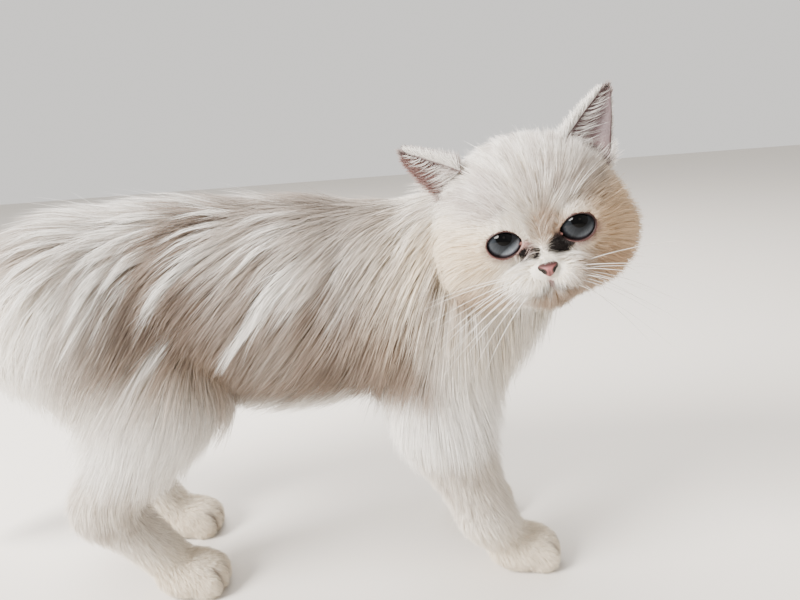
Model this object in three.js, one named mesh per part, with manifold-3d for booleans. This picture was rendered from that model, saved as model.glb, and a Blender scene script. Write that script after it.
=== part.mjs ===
// A standing long-haired cat, life size, in millimetres: +X runs to its chest, +Z is up,
// and its head is turned to its right, along -Y. Flesh is one smooth field of named muscles,
// which is meshed, parted into nodes by thin cuts, and dressed with flat, tapered locks.
import * as THREE from "three";
import Module from "manifold-3d";
import { mergeVertices } from "three/addons/utils/BufferGeometryUtils.js";

const wasm = await Module();
wasm.setup();

// Driving sizes
const PART_GAP = 0.32; // between neighbouring nodes
const TRUNK_STEP = 16.5; // between the rings of points that a form is made from
const LEG_STEP = 14.5;
const TRUNK_SIDES = 22;
const LEG_SIDES = 11;
const PAW_SIDES = 16;
const PAW_RINGS = 10;
const HEAD_SIDES = 28;
const HEAD_RINGS = 20;
const COAT_CORE = 0.42; // share of the coat's depth that the solid core takes up
const LEG_NEAR = 190; // how far from its knee or elbow a leg has any effect
const FAR_FROM_SKIN = 45; // where the coat need not be worked out
const SEED = 20266;

// Small helpers for points held as [x, y, z]
const add = (a, b, s = 1) => [a[0] + b[0] * s, a[1] + b[1] * s, a[2] + b[2] * s];
const sub = (a, b) => [a[0] - b[0], a[1] - b[1], a[2] - b[2]];
const dot = (a, b) => a[0] * b[0] + a[1] * b[1] + a[2] * b[2];
const cross = (a, b) => [
  a[1] * b[2] - a[2] * b[1],
  a[2] * b[0] - a[0] * b[2],
  a[0] * b[1] - a[1] * b[0],
];
const size = (a) => Math.hypot(a[0], a[1], a[2]);
const unit = (a) => add([0, 0, 0], a, 1 / Math.max(size(a), 1e-9));
const mix = (a, b, t) => add(a, sub(b, a), t);
const blend = (a, b, t) => a + (b - a) * t;
const clamp01 = (t) => Math.min(1, Math.max(0, t));
const smoothMin = (a, b, k) => {
  const h = Math.max(k - Math.abs(a - b), 0) / k;
  return Math.min(a, b) - (h * h * k) / 4;
};
const smoothMax = (a, b, k) => -smoothMin(-a, -b, k);
const radians = THREE.MathUtils.degToRad;
const AXES = { x: [1, 0, 0], y: [0, 1, 0], z: [0, 0, 1] };

// Repeatable random numbers from 0 to 1
function randomFrom(seed) {
  let state = seed;
  return () => {
    state = (state + 0x6d2b79f5) | 0;
    let t = Math.imul(state ^ (state >>> 15), 1 | state);
    t = (t + Math.imul(t ^ (t >>> 7), 61 | t)) ^ t;
    return ((t ^ (t >>> 14)) >>> 0) / 4294967296;
  };
}

// Muscles. Each has a distance, the way its coat lies, and the coat's depth.
function oval(centre, radii, lie, coat) {
  const distance = (p) => {
    const q = sub(p, centre);
    const k0 = Math.hypot(q[0] / radii[0], q[1] / radii[1], q[2] / radii[2]);
    const k1 = Math.hypot(q[0] / radii[0] ** 2, q[1] / radii[1] ** 2, q[2] / radii[2] ** 2);
    return k1 < 1e-9 ? -Math.min(...radii) : (k0 * (k0 - 1)) / k1;
  };
  return { distance, lie, coat };
}

function limb(from, to, fromRadius, toRadius, lie, coat) {
  const along = sub(to, from);
  const length2 = dot(along, along);
  const distance = (p) => {
    const t = clamp01(dot(sub(p, from), along) / length2);
    return size(sub(p, add(from, along, t))) - blend(fromRadius, toRadius, t);
  };
  return { distance, lie, coat };
}

const joined = (muscles, k) => (p) =>
  muscles.reduce((d, m) => (d === null ? m.distance(p) : smoothMin(d, m.distance(p), k)), null);

// Trunk: five muscles from the haunches to the breast
const trunk = [
  oval([-207, 0, 203], [60, 42, 45], [-0.8, 0, -0.8], 22),
  oval([-140, 0, 203], [70, 44, 50], [-1, 0, -0.6], 17),
  oval([-65, 0, 197], [85, 49, 53], [-1, 0, -0.75], 17),
  oval([5, 0, 192], [52, 46, 50], [-0.7, 0, -1], 16),
  oval([36, -3, 176], [31, 34, 36], [-0.1, 0, -1], 22),
];
const TRUNK_BLEND = 22;

// Legs: joints from the body down, then the paw. The sign of side is -1 on the cat's right.
const FORE_RADII = [27, 20, 13, 12.5];
const HIND_RADII = [37, 26, 13.5, 12];
const TOE_COUNT = 4;
const TOE_SPREAD = 7.4;
const TOE_REACH = 15;

function legOf(joints, radii, coats) {
  const pieces = [];
  for (let i = 0; i < 3; i++) {
    const lie = unit(sub(joints[i + 1], joints[i]));
    pieces.push(limb(joints[i], joints[i + 1], radii[i], radii[i + 1], lie, coats[i]));
  }
  return pieces;
}

function pawOf(centre) {
  const pieces = [oval(centre, [23, 16, 13.5], [0.6, 0, -0.8], 5)];
  for (let i = 0; i < TOE_COUNT; i++) {
    const place = i - (TOE_COUNT - 1) / 2;
    const reach = TOE_REACH - Math.abs(place) * 2.6;
    const toe = [centre[0] + reach, centre[1] + place * TOE_SPREAD, centre[2] - 3.5];
    pieces.push(oval(toe, [9.5, 5.2, 8.6], [0.7, 0, -0.7], 4));
  }
  return pieces;
}

const legs = {
  foreleg_right: {
    joints: [[22, -28, 180], [22, -36, 117], [47, -31, 44], [61, -27, 22]],
    paw: [73, -26, 12],
    radii: FORE_RADII,
    coats: [15, 11, 6],
  },
  foreleg_left: {
    joints: [[18, 28, 180], [12, 36, 117], [36, 37, 44], [46, 37, 22]],
    paw: [53, 37, 12],
    radii: FORE_RADII,
    coats: [15, 11, 6],
  },
  hindleg_right: {
    joints: [[-200, -26, 200], [-153, -36, 147], [-204, -34, 74], [-170, -28, 23]],
    paw: [-157, -28, 12],
    radii: HIND_RADII,
    coats: [18, 14, 7],
  },
  hindleg_left: {
    joints: [[-208, 26, 200], [-172, 36, 147], [-228, 38, 76], [-192, 38, 23]],
    paw: [-179, 38, 12],
    radii: HIND_RADII,
    coats: [18, 14, 7],
  },
};
for (const leg of Object.values(legs)) {
  leg.limbs = legOf(leg.joints, leg.radii, leg.coats);
  leg.toes = pawOf(leg.paw);
}
const LEG_BLEND = 12;
const TOE_BLEND = 3;
const LEG_TO_TRUNK = 18;

// Head: its own axes, with the origin midway between the eyes. Left is the cat's left.
const HEAD_AT = [71, -88, 242];
const HEAD_YAW = radians(6.7);
const HEAD_ROLL = radians(11);
const faceward = [-Math.sin(HEAD_YAW), -Math.cos(HEAD_YAW), 0];
const levelLeft = [Math.cos(HEAD_YAW), -Math.sin(HEAD_YAW), 0];
const headLeft = unit(add(add([0, 0, 0], levelLeft, Math.cos(HEAD_ROLL)), [0, 0, Math.sin(HEAD_ROLL)]));
const headUp = unit(cross(faceward, headLeft));
const fromHead = (q) =>
  add(add(add(HEAD_AT, headLeft, q[0]), faceward, q[1]), headUp, q[2]);
const toHead = (p) => {
  const d = sub(p, HEAD_AT);
  return [dot(d, headLeft), dot(d, faceward), dot(d, headUp)];
};
const turnToWorld = (v) => sub(fromHead(v), HEAD_AT);

const EYE_APART = 18.2; // from the middle of the face to each eye
const EYE_RADIUS = 10;
const EYE_DEPTH = -1;
const eyeAt = (side) => [side * EYE_APART, EYE_DEPTH, 0];

const skull = [
  oval([0, -42, 9], [41, 38, 32]), // cranium
  oval([0, -15, 14], [27, 21, 20]), // forehead
  oval([24, -28, -11], [24.5, 25, 24]), // cheeks
  oval([-24, -28, -11], [24.5, 25, 24]),
  oval([0, -22, -21], [25, 25, 17]), // jaw
];
const muzzle = [
  oval([7.3, 3, -21.5], [10, 10.5, 8]), // whisker pads
  oval([-7.3, 3, -21.5], [10, 10.5, 8]),
  limb([0, -4, 2], [0, 5.5, -12], 8, 6), // bridge of the nose
  oval([0, -1, -30], [9, 9.5, 6]), // chin
];
const orbits = [
  oval([18.5, -7, 1], [15, 11.5, 13.5]),
  oval([-18.5, -7, 1], [15, 11.5, 13.5]),
];
const SKULL_BLEND = 14;
const MUZZLE_BLEND = 5;
const FACE_COAT = 4.5;
const CHEEK_COAT = 9;

// Depth of the head's coat: almost none at the nose, short on the face, long on the cheeks
function headCoat(q) {
  const fromNose = size(sub(q, [0, 14, -16]));
  const short = FACE_COAT * clamp01(0.12 + fromNose / 18);
  return blend(short, CHEEK_COAT, clamp01((fromNose - 25) / 40));
}

function headField(p) {
  const q = toHead(p);
  let d = joined(skull, SKULL_BLEND)(q);
  d = smoothMin(d, joined(orbits, MUZZLE_BLEND)(q), 8);
  d = smoothMin(d, joined(muzzle, MUZZLE_BLEND)(q), 9);
  for (const side of [-1, 1]) {
    const socket = EYE_RADIUS - size(sub(q, add(eyeAt(side), [0, 6.5, 0])));
    d = smoothMax(d, socket, 3);
  }
  return d;
}

// Neck: from the shoulders, round a bend, into the back of the skull
const NECK = [[4, 0, 200], [44, 2, 213], [74, -26, 235]];
const neck = [
  limb(NECK[0], NECK[1], 42, 38, [-0.6, 0, -1], 20),
  limb(NECK[1], NECK[2], 38, 36, [-0.3, 0, -1], 18),
];
const NECK_BLEND = 24;

// Tail: its dock is carried by the haunches, and it hangs in one bend to its tip
const TAIL = [
  [-225, 0, 214],
  [-262, 0, 222],
  [-298, 4, 214],
  [-326, 9, 182],
  [-341, 14, 134],
  [-352, 19, 90],
  [-366, 24, 52],
];
const TAIL_RADII = [23, 17, 14, 12, 10.5, 8.5, 4];
const TAIL_COATS = [20, 20, 20, 19, 16, 8];
const TAIL_BLEND = 10;
const tail = TAIL_RADII.slice(1).map((radius, i) => {
  const lie = unit(sub(TAIL[i + 1], TAIL[i]));
  return limb(TAIL[i], TAIL[i + 1], TAIL_RADII[i], radius, lie, TAIL_COATS[i]);
});

const bodyMuscles = [...trunk, ...neck, ...tail];
for (const leg of Object.values(legs)) bodyMuscles.push(...leg.limbs, ...leg.toes);

// The coat's lie and depth at a point, weighed by how near each muscle is
const LIE_REACH = 9;
function coatAt(p) {
  const q = toHead(p);
  const away = sub(q, [0, 14, -14]);
  const headLie = turnToWorld(unit([away[0], -Math.abs(away[1]) - 8, away[2] - 10]));
  const near = bodyMuscles.map((m) => [m.distance(p), m.lie, m.coat]);
  near.push([headField(p), headLie, headCoat(q)]);
  const least = Math.min(...near.map((n) => n[0]));
  let total = 0;
  let lie = [0, 0, 0];
  let depth = 0;
  for (const [d, way, coat] of near) {
    const w = Math.exp((least - d) / LIE_REACH);
    total += w;
    lie = add(lie, unit(way), w);
    depth += w * coat;
  }
  return { lie: unit(lie), depth: depth / total };
}

// The bare skin, and the core that also holds part of the coat
function skinField(p) {
  let d = smoothMin(joined(trunk, TRUNK_BLEND)(p), joined(tail, TAIL_BLEND)(p), TAIL_BLEND);
  for (const leg of Object.values(legs)) {
    if (size(sub(p, leg.joints[1])) > LEG_NEAR) continue;
    const shaft = joined(leg.limbs, LEG_BLEND)(p);
    const paw = smoothMin(shaft, joined(leg.toes, TOE_BLEND)(p), 6);
    d = smoothMin(d, paw, LEG_TO_TRUNK);
  }
  d = smoothMin(d, joined(neck, NECK_BLEND)(p), NECK_BLEND);
  return smoothMin(d, headField(p), 12);
}
function coreField(p) {
  const skin = skinField(p);
  return Math.abs(skin) > FAR_FROM_SKIN ? skin : skin - coatAt(p).depth * COAT_CORE;
}

function slope(field, p, step = 0.4) {
  return unit([
    field([p[0] + step, p[1], p[2]]) - field([p[0] - step, p[1], p[2]]),
    field([p[0], p[1] + step, p[2]]) - field([p[0], p[1] - step, p[2]]),
    field([p[0], p[1], p[2] + step]) - field([p[0], p[1], p[2] - step]),
  ]);
}

// Meshes of a field
function geometryOf(points, faces) {
  const geometry = new THREE.BufferGeometry();
  geometry.setAttribute("position", new THREE.Float32BufferAttribute(points.flat(), 3));
  geometry.setIndex(faces.flat());
  return geometry;
}

// A closed skin over rings of points, with a cap on the first and last ring. A ring of one
// point is a tip.
function loft(rings) {
  const points = [];
  const starts = rings.map((ring) => {
    const start = points.length;
    points.push(...ring);
    return start;
  });
  const faces = [];
  for (let i = 0; i + 1 < rings.length; i++) {
    const [a, b] = [starts[i], starts[i + 1]];
    const [na, nb] = [rings[i].length, rings[i + 1].length];
    for (let j = 0; j < Math.max(na, nb); j++) {
      const next = (j + 1) % Math.max(na, nb);
      if (na > 1) faces.push([a + j, a + next, b + (nb > 1 ? next : 0)]);
      if (nb > 1) faces.push([a + (na > 1 ? j : 0), b + next, b + j]);
    }
  }
  const cap = (start, count, flip) => {
    for (let j = 1; j + 1 < count; j++)
      faces.push(flip ? [start, start + j + 1, start + j] : [start, start + j, start + j + 1]);
  };
  cap(starts[0], rings[0].length, true);
  cap(starts.at(-1), rings.at(-1).length, false);
  return geometryOf(points, faces);
}

// Solids for cutting and joining
function solidOf(geometry) {
  const position = geometry.getAttribute("position");
  const made = new wasm.Manifold(
    new wasm.Mesh({
      numProp: 3,
      vertProperties: new Float32Array(position.array),
      triVerts: new Uint32Array(geometry.index.array),
    }),
  );
  return made.volume() < 0 ? solidOf(turned(geometry)) : made;
}

function turned(geometry) {
  const index = Array.from(geometry.index.array);
  for (let i = 0; i < index.length; i += 3) [index[i + 1], index[i + 2]] = [index[i + 2], index[i + 1]];
  geometry.setIndex(index);
  return geometry;
}

// Only positions, with shared vertices merged
function weld(geometry) {
  geometry.deleteAttribute("normal");
  geometry.deleteAttribute("uv");
  return mergeVertices(geometry, 1e-4);
}

const largest = (solid) =>
  solid.decompose().reduce((best, piece) => (best && best.volume() > piece.volume() ? best : piece), null);

// The mesh of a solid, with the two ends of each shortest edge brought together
const SHORTEST_EDGE = 0.01;
function meshOf(solid) {
  const { vertProperties, triVerts, numProp } = solid.getMesh();
  const points = [];
  for (let i = 0; i < vertProperties.length; i += numProp)
    points.push([vertProperties[i], vertProperties[i + 1], vertProperties[i + 2]]);
  const kept = points.map((_, i) => i);
  const home = (i) => (kept[i] === i ? i : home(kept[i]));
  for (let i = 0; i < triVerts.length; i += 3) {
    for (let k = 0; k < 3; k++) {
      const a = home(triVerts[i + k]);
      const b = home(triVerts[i + ((k + 1) % 3)]);
      if (size(sub(points[a], points[b])) < SHORTEST_EDGE) kept[b] = a;
    }
  }
  const faces = [];
  for (let i = 0; i < triVerts.length; i += 3) {
    const face = [0, 1, 2].map((k) => home(triVerts[i + k]));
    if (new Set(face).size === 3) faces.push(face);
  }
  const used = [...new Set(faces.flat())];
  const place = new Map(used.map((from, to) => [from, to]));
  return geometryOf(used.map((i) => points[i]), faces.map((face) => face.map((i) => place.get(i))));
}

// Cutting planes, as a point and the way that the plane faces
const plane = (point, way) => ({ point, way: unit(way) });
const beyond = (p, cut) => dot(sub(p, cut.point), cut.way);
const HEAD_CUT = plane([60, -28, 230], [0.35, -0.85, 0.4]);
const NECK_CUT = plane([25, 0, 214], [0.6, 0, 0.8]);
const SPARE = 14; // how far a mesh runs past a plane that cuts it

// The field, closed a little way past planes that will cut it
const closedBy = (field, cuts) => (p) =>
  cuts.reduce((d, cut) => Math.max(d, beyond(p, cut) - SPARE), field(p));

// The same, closed on the plane's other side
const closedBefore = (field, cut, spare) => (p) => Math.max(field(p), -beyond(p, cut) - spare);

// The part of a solid behind a plane, less half of a gap
const behind = (solid, cut) =>
  solid.trimByPlane(cut.way.map((v) => -v), -dot(cut.point, cut.way) + PART_GAP / 2);
const infront = (solid, cut) => solid.trimByPlane(cut.way, dot(cut.point, cut.way) + PART_GAP / 2);

// Where a ray from inside a field first comes out of it
const RAY_HALVINGS = 14;
function surfaceFrom(field, start, way) {
  let [inside, outside] = [0, 0];
  let depth = field(start);
  if (depth >= 0) throw new Error(`a ray starts outside its form, at ${start}`);
  while (depth < 0) {
    inside = outside;
    outside += Math.max(0.5, -0.7 * depth);
    depth = field(add(start, way, outside));
  }
  for (let i = 0; i < RAY_HALVINGS; i++) {
    const middle = (inside + outside) / 2;
    if (field(add(start, way, middle)) < 0) inside = middle;
    else outside = middle;
  }
  return add(start, way, inside);
}

// A form seen whole from its middle: rings round a pole, set closer towards its start
function starOf(field, middle, [pole, right, up], ringCount, sides, bunch) {
  const rings = [];
  for (let i = 0; i <= ringCount; i++) {
    const t = i / ringCount;
    const away = Math.PI * ((1 - bunch) * t + bunch * t * t);
    const ring = [];
    for (let j = 0; j < (i === 0 || i === ringCount ? 1 : sides); j++) {
      const turn = (2 * Math.PI * j) / sides;
      const outward = add(add([0, 0, 0], right, Math.cos(turn)), up, Math.sin(turn));
      const way = add(add([0, 0, 0], pole, Math.cos(away)), outward, Math.sin(away));
      ring.push(surfaceFrom(field, middle, way));
    }
    rings.push(ring);
  }
  return loft(rings);
}

// A long form: rings in level planes round a line of centres, and a point at each end
function rodOf(field, centres, [along, right, up], sides) {
  const rings = centres.map((centre) => {
    const ring = [];
    for (let j = 0; j < sides; j++) {
      const turn = (2 * Math.PI * (j + 0.5)) / sides;
      const way = add(add([0, 0, 0], right, Math.cos(turn)), up, Math.sin(turn));
      ring.push(surfaceFrom(field, centre, way));
    }
    return ring;
  });
  const backward = add([0, 0, 0], along, -1);
  const start = surfaceFrom(field, centres[0], backward);
  return loft([[start], ...rings, [surfaceFrom(field, centres.at(-1), along)]]);
}

// A field closed by a box
const boxed = (field, low, high) => (p) =>
  Math.max(field(p), ...[0, 1, 2].map((k) => Math.max(low[k] - p[k], p[k] - high[k])));

// A point on a bent line of points, found by one of its coordinates
function onLine(points, axis, value) {
  const rises = points.at(-1)[axis] > points[0][axis];
  const line = rises ? points : [...points].reverse();
  if (value <= line[0][axis]) return line[0].map((v, k) => (k === axis ? value : v));
  const next = line.findIndex((p) => p[axis] >= value);
  if (next < 0) return line.at(-1).map((v, k) => (k === axis ? value : v));
  const [a, b] = [line[next - 1], line[next]];
  return mix(a, b, (value - a[axis]) / (b[axis] - a[axis]));
}

// Ears: a cup whose ribs bend round an axis from its root to its tip, open on one side
const EAR_RIBS = 7;
const EAR_ARC_POINTS = 8;
const EAR_SOCKET = 5; // how many ribs up the ear its socket reaches
function earRing({ root, tip, opening, width, depth, thick }, rib, grow) {
  const t = rib / (EAR_RIBS - 1);
  const axis = unit(sub(tip, root));
  const out = unit(sub(opening, add([0, 0, 0], axis, dot(opening, axis))));
  const across = cross(axis, out);
  const half = (width / 2) * Math.pow(1 - t, 0.75) + 0.9;
  const bow = depth * Math.pow(1 - t, 0.6) + 0.3;
  const wall = blend(thick, 0.9, t);
  const centre = add(mix(root, tip, t), axis, rib === 0 ? -grow : 0);
  const arc = (reach, back) => {
    const row = [];
    for (let j = 0; j < EAR_ARC_POINTS; j++) {
      const u = (2 * j) / (EAR_ARC_POINTS - 1) - 1;
      const side = add(centre, across, u * reach);
      row.push(add(side, out, back + bow * (u * u - 0.5)));
    }
    return row;
  };
  return grownRing([...arc(half, 0), ...arc(half * 0.96, -wall).reverse()], axis, grow).map(fromHead);
}

// A flat ring of points, moved outward by the same distance on every side
function grownRing(ring, axis, grow) {
  return ring.map((point, j) => {
    const before = ring.at(j - 1);
    const after = ring[(j + 1) % ring.length];
    const a = cross(unit(sub(point, before)), axis);
    const b = cross(unit(sub(after, point)), axis);
    return add(point, add(a, b), grow / Math.max(0.35, 1 + dot(a, b)));
  });
}

function earSolid(ear, ribs, grow) {
  const rings = [];
  for (let rib = 0; rib < ribs; rib++) rings.push(earRing(ear, rib, grow));
  return solidOf(loft(rings));
}
const ears = {
  ear_left: { root: [32.4, -38.4, 25.3], tip: [53.3, -43, 58.6], opening: [0.1, 1, 0] },
  ear_right: { root: [-34.3, -39.2, 30.8], tip: [-61, -45, 54], opening: [-0.5, 0.7, -0.55] },
};
for (const ear of Object.values(ears)) Object.assign(ear, { width: 28, depth: 9, thick: 2.6 });

// A geometry given in the head's own axes, put in place as a solid
function inHead(geometry) {
  const welded = weld(geometry);
  const position = welded.getAttribute("position");
  for (let i = 0; i < position.count; i++) {
    const at = fromHead([position.getX(i), position.getY(i), position.getZ(i)]);
    position.setXYZ(i, at[0], at[1], at[2]);
  }
  return solidOf(welded);
}

// Eyes and lids: each lid is a shell round the eyeball with an almond opening
const EYE_OPENING = [16.6, 13.6]; // width and height
const LID_THICK = 1.9;
function eyeball(side, radius) {
  const ball = new THREE.SphereGeometry(radius, 14, 8);
  ball.rotateX(Math.PI / 2);
  ball.translate(...eyeAt(side));
  return inHead(ball);
}
function eyeOpening(side) {
  const [halfWide, halfHigh] = EYE_OPENING.map((s) => s / 2);
  const shape = new THREE.Shape();
  shape.moveTo(-halfWide, 0);
  shape.bezierCurveTo(-halfWide, halfHigh * 1.1, halfWide * 0.9, halfHigh * 1.35, halfWide, 1);
  shape.bezierCurveTo(halfWide * 0.95, -halfHigh * 1.3, -halfWide * 0.8, -halfHigh * 1.4, -halfWide, 0);
  const almond = new THREE.ExtrudeGeometry(shape, { depth: 40, bevelEnabled: false, curveSegments: 6 });
  almond.rotateX(Math.PI / 2); // now it runs along -Y, with its outline upside down
  almond.scale(-side, -1, -1); // and now along +Y, upright, with its point towards the nose
  almond.translate(...eyeAt(side));
  return inHead(almond);
}

// Nose pad: a rounded triangle with a slit for each nostril
const NOSE_AT = [0, 10.5, -16.3];
function nosePad(grow) {
  const pad = new THREE.SphereGeometry(1, 14, 7);
  const position = pad.getAttribute("position");
  for (let i = 0; i < position.count; i++) {
    const [x, y, z] = [position.getX(i), position.getZ(i), position.getY(i)];
    const wide = 5.4 * (0.7 + 0.3 * z) + grow;
    position.setXYZ(i, x * wide, y * (4.2 + grow), z * (3.6 + grow));
  }
  pad.translate(...NOSE_AT);
  return inHead(pad);
}
function nostril(side) {
  const slit = new THREE.SphereGeometry(1, 8, 5);
  slit.scale(1.5, 2.6, 0.9);
  slit.rotateY(side * radians(25));
  slit.translate(NOSE_AT[0] + side * 2.9, NOSE_AT[1] + 4, NOSE_AT[2] + 0.3);
  return inHead(slit);
}

// The mouth: a groove from the nose down, and one to each side under the whisker pads
const GROOVE = 0.9;
const mouthLines = [
  [[0, -19.5], [0, -22], [0, -24.5]],
  [[0, -24.2], [3.5, -26.8], [8, -27.6], [12, -26.4], [15, -27.5]],
  [[0, -24.2], [-3.5, -26.8], [-8, -27.6], [-12, -26.4], [-15, -27.5]],
];
function faceAt([x, z]) {
  let y = 40;
  for (let i = 0; i < 60; i++) y -= Math.max(0.02, 0.7 * coreField(fromHead([x, y, z])));
  return [x, y, z];
}
function groove(line) {
  const path = new THREE.CatmullRomCurve3(line.map((xz) => new THREE.Vector3(...faceAt(xz))));
  const STEPS = 6;
  const SIDES = 4;
  const rings = [];
  for (let i = 0; i <= STEPS; i++) {
    const centre = path.getPointAt(i / STEPS).toArray();
    const along = path.getTangentAt(i / STEPS).toArray();
    const out = unit(sub([0, 1, 0], add([0, 0, 0], along, along[1])));
    const across = cross(along, out);
    const ring = [];
    for (let j = 0; j < SIDES; j++) {
      const turn = (2 * Math.PI * j) / SIDES;
      const side = add(centre, out, GROOVE * Math.cos(turn));
      ring.push(fromHead(add(side, across, GROOVE * Math.sin(turn))));
    }
    rings.push(ring);
  }
  return solidOf(loft(rings));
}

// Tail mesh: rings round its middle line, from the dock's cut on
const TAIL_STEPS = 13;
const TAIL_SIDES = 11;
const tailCurve = new THREE.CatmullRomCurve3(TAIL.slice(1).map((p) => new THREE.Vector3(...p)));
const tailPlane = (t) => plane(tailCurve.getPointAt(t).toArray(), tailCurve.getTangentAt(t).toArray());
const TAIL_CUT = tailPlane(0);
const tailCuts = [0.36, 0.7].map(tailPlane);
function tailGeometry() {
  const rings = [];
  for (let i = 0; i <= TAIL_STEPS; i++) {
    const { point, way } = tailPlane(i / TAIL_STEPS);
    const across = unit(cross(way, AXES.y));
    const level = cross(across, way);
    const ring = [];
    for (let j = 0; j < TAIL_SIDES; j++) {
      const turn = (2 * Math.PI * j) / TAIL_SIDES;
      const outward = add(add([0, 0, 0], across, Math.cos(turn)), level, Math.sin(turn));
      ring.push(surfaceFrom(coreField, point, outward));
    }
    rings.push(ring);
  }
  const { point, way } = tailPlane(1);
  return loft([...rings, [surfaceFrom(coreField, point, way)]]);
}

// Finishes
const finish = (color, roughness, metalness = 0) =>
  new THREE.MeshStandardMaterial({ color, roughness, metalness });
const finishes = {
  coat: finish(0xe9e2d6, 0.85),
  shaded: finish(0xd5cbbf, 0.85),
  paw: finish(0xe6d9bd, 0.85),
  ear: finish(0xb9a3a0, 0.75),
  eye: finish(0x8fa3b4, 0.1),
  nose: finish(0xb27c78, 0.5),
};

// The nodes' solids, and the look of each
const nodes = new Map();
function addNode(name, solid, look) {
  nodes.set(name, { solid: largest(solid), look, locks: [] });
}

// A knife for a leg: a cut in side view with a round top at its shoulder or hip, which
// widens to take in the knee or elbow, run out sideways
const KNIFE_DEPTH = 130;
function legKnife({ middle, radius, front, back, heel, inner }, side, grow) {
  const shape = new THREE.Shape();
  shape.moveTo(heel[0] - grow, -10);
  shape.lineTo(front[0] + grow, -10);
  shape.lineTo(front[0] + grow, front[1]);
  shape.absarc(middle[0], middle[1], radius + grow, 0, Math.PI, false);
  shape.lineTo(back[0] - grow, back[1]);
  shape.lineTo(heel[0] - grow, heel[1]);
  const geometry = new THREE.ExtrudeGeometry(shape, {
    depth: KNIFE_DEPTH,
    bevelEnabled: false,
    curveSegments: 10,
  });
  geometry.rotateX(Math.PI / 2); // the outline now stands in the XZ plane and runs out along -Y
  geometry.translate(0, side < 0 ? -inner + grow : inner - grow + KNIFE_DEPTH, 0);
  return solidOf(weld(geometry));
}

// Where each leg leaves the trunk: middle and radius of the round top, how far forward and
// back the cut reaches below it, and how far from the middle plane it starts
const shoulder = (x) => ({
  middle: [x, 170],
  radius: 38,
  front: [x + 96, 108],
  back: [x - 42, 120],
  heel: [x - 42, 90],
  inner: 3.5,
});
const hip = (x) => ({
  middle: [x, 186],
  radius: 44,
  front: [x + 78, 128],
  back: [x - 44, 140],
  heel: [x - 60, 112],
  inner: 3.5,
});
const legCuts = {
  foreleg_right: shoulder(14),
  foreleg_left: shoulder(8),
  hindleg_right: hip(-190),
  hindleg_left: hip(-200),
};
const PAW_START = 0.35; // along the last length of the leg

function addLeg(name, cut) {
  const side = name.endsWith("right") ? -1 : 1;
  const { joints, paw } = legs[name];
  const [, , ankle, foot] = joints;
  const pawCut = plane(mix(ankle, foot, PAW_START), sub(foot, ankle));
  const top = cut.middle[1] + cut.radius + SPARE / 2;
  const low = [cut.heel[0] - SPARE / 2, side < 0 ? -130 : -2, 10];
  const high = [cut.front[0] + SPARE / 2, side < 0 ? 2 : 130, top];
  const field = boxed(closedBy(coreField, [HEAD_CUT]), low, high);
  const count = Math.round((top - foot[2] - 8) / LEG_STEP);
  const centres = [];
  for (let i = 0; i < count; i++) centres.push(onLine(joints, 2, blend(foot[2], top - 8, i / (count - 1))));
  const whole = solidOf(rodOf(field, centres, [AXES.z, AXES.x, AXES.y], LEG_SIDES));
  const leg = behind(behind(whole, pawCut), HEAD_CUT).intersect(legKnife(cut, side, -PART_GAP / 2));
  addNode(name, leg, finishes.coat);
  const pawField = boxed(closedBefore(coreField, pawCut, SPARE), [-400, -130, -6], [200, 130, 100]);
  const pawSolid = solidOf(starOf(pawField, paw, [AXES.x, AXES.y, AXES.z], PAW_RINGS, PAW_SIDES, 0.25));
  const onFloor = infront(pawSolid, pawCut).trimByPlane(AXES.z, 0);
  addNode(name.replace("leg", "paw"), onFloor, finishes.paw);
}

// Trunk, from the dock to the head
const SPINE = [[-271, 0, 220], [-207, 0, 205], [-65, 0, 197], [5, 0, 198], [70, -4, 212], [106, -8, 230]];
const BELLY_FLOOR = 112; // below the belly, where the trunk's mesh is closed
function addTrunk() {
  const CHEST_CUT = plane([-40, 0, 200], [-1, 0, 0]);
  const LOIN_CUT = plane([-148, 0, 200], [-1, 0, 0]);
  const closed = closedBy(coreField, [HEAD_CUT, TAIL_CUT]);
  const field = boxed(closed, [-400, -130, BELLY_FLOOR], [200, 130, 400]);
  const centres = [];
  for (let x = SPINE[0][0]; x <= SPINE.at(-1)[0]; x += TRUNK_STEP) centres.push(onLine(SPINE, 0, x));
  let solid = solidOf(rodOf(field, centres, [AXES.x, AXES.y, AXES.z], TRUNK_SIDES));
  solid = behind(behind(solid, HEAD_CUT), TAIL_CUT);
  for (const [name, cut] of Object.entries(legCuts))
    solid = solid.subtract(legKnife(cut, name.endsWith("right") ? -1 : 1, PART_GAP / 2));
  addNode("neck", infront(solid, NECK_CUT), finishes.coat);
  const torso = behind(solid, NECK_CUT);
  addNode("chest", behind(torso, CHEST_CUT), finishes.shaded);
  addNode("belly", behind(infront(torso, CHEST_CUT), LOIN_CUT), finishes.shaded);
  addNode("rump", infront(torso, LOIN_CUT), finishes.coat);
}

function addTail() {
  const solid = infront(solidOf(tailGeometry()), TAIL_CUT);
  const [upper, lower] = tailCuts;
  addNode("tail_base", behind(solid, upper), finishes.coat);
  addNode("tail_middle", behind(infront(solid, upper), lower), finishes.coat);
  addNode("tail_tip", infront(solid, lower), finishes.coat);
}

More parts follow.
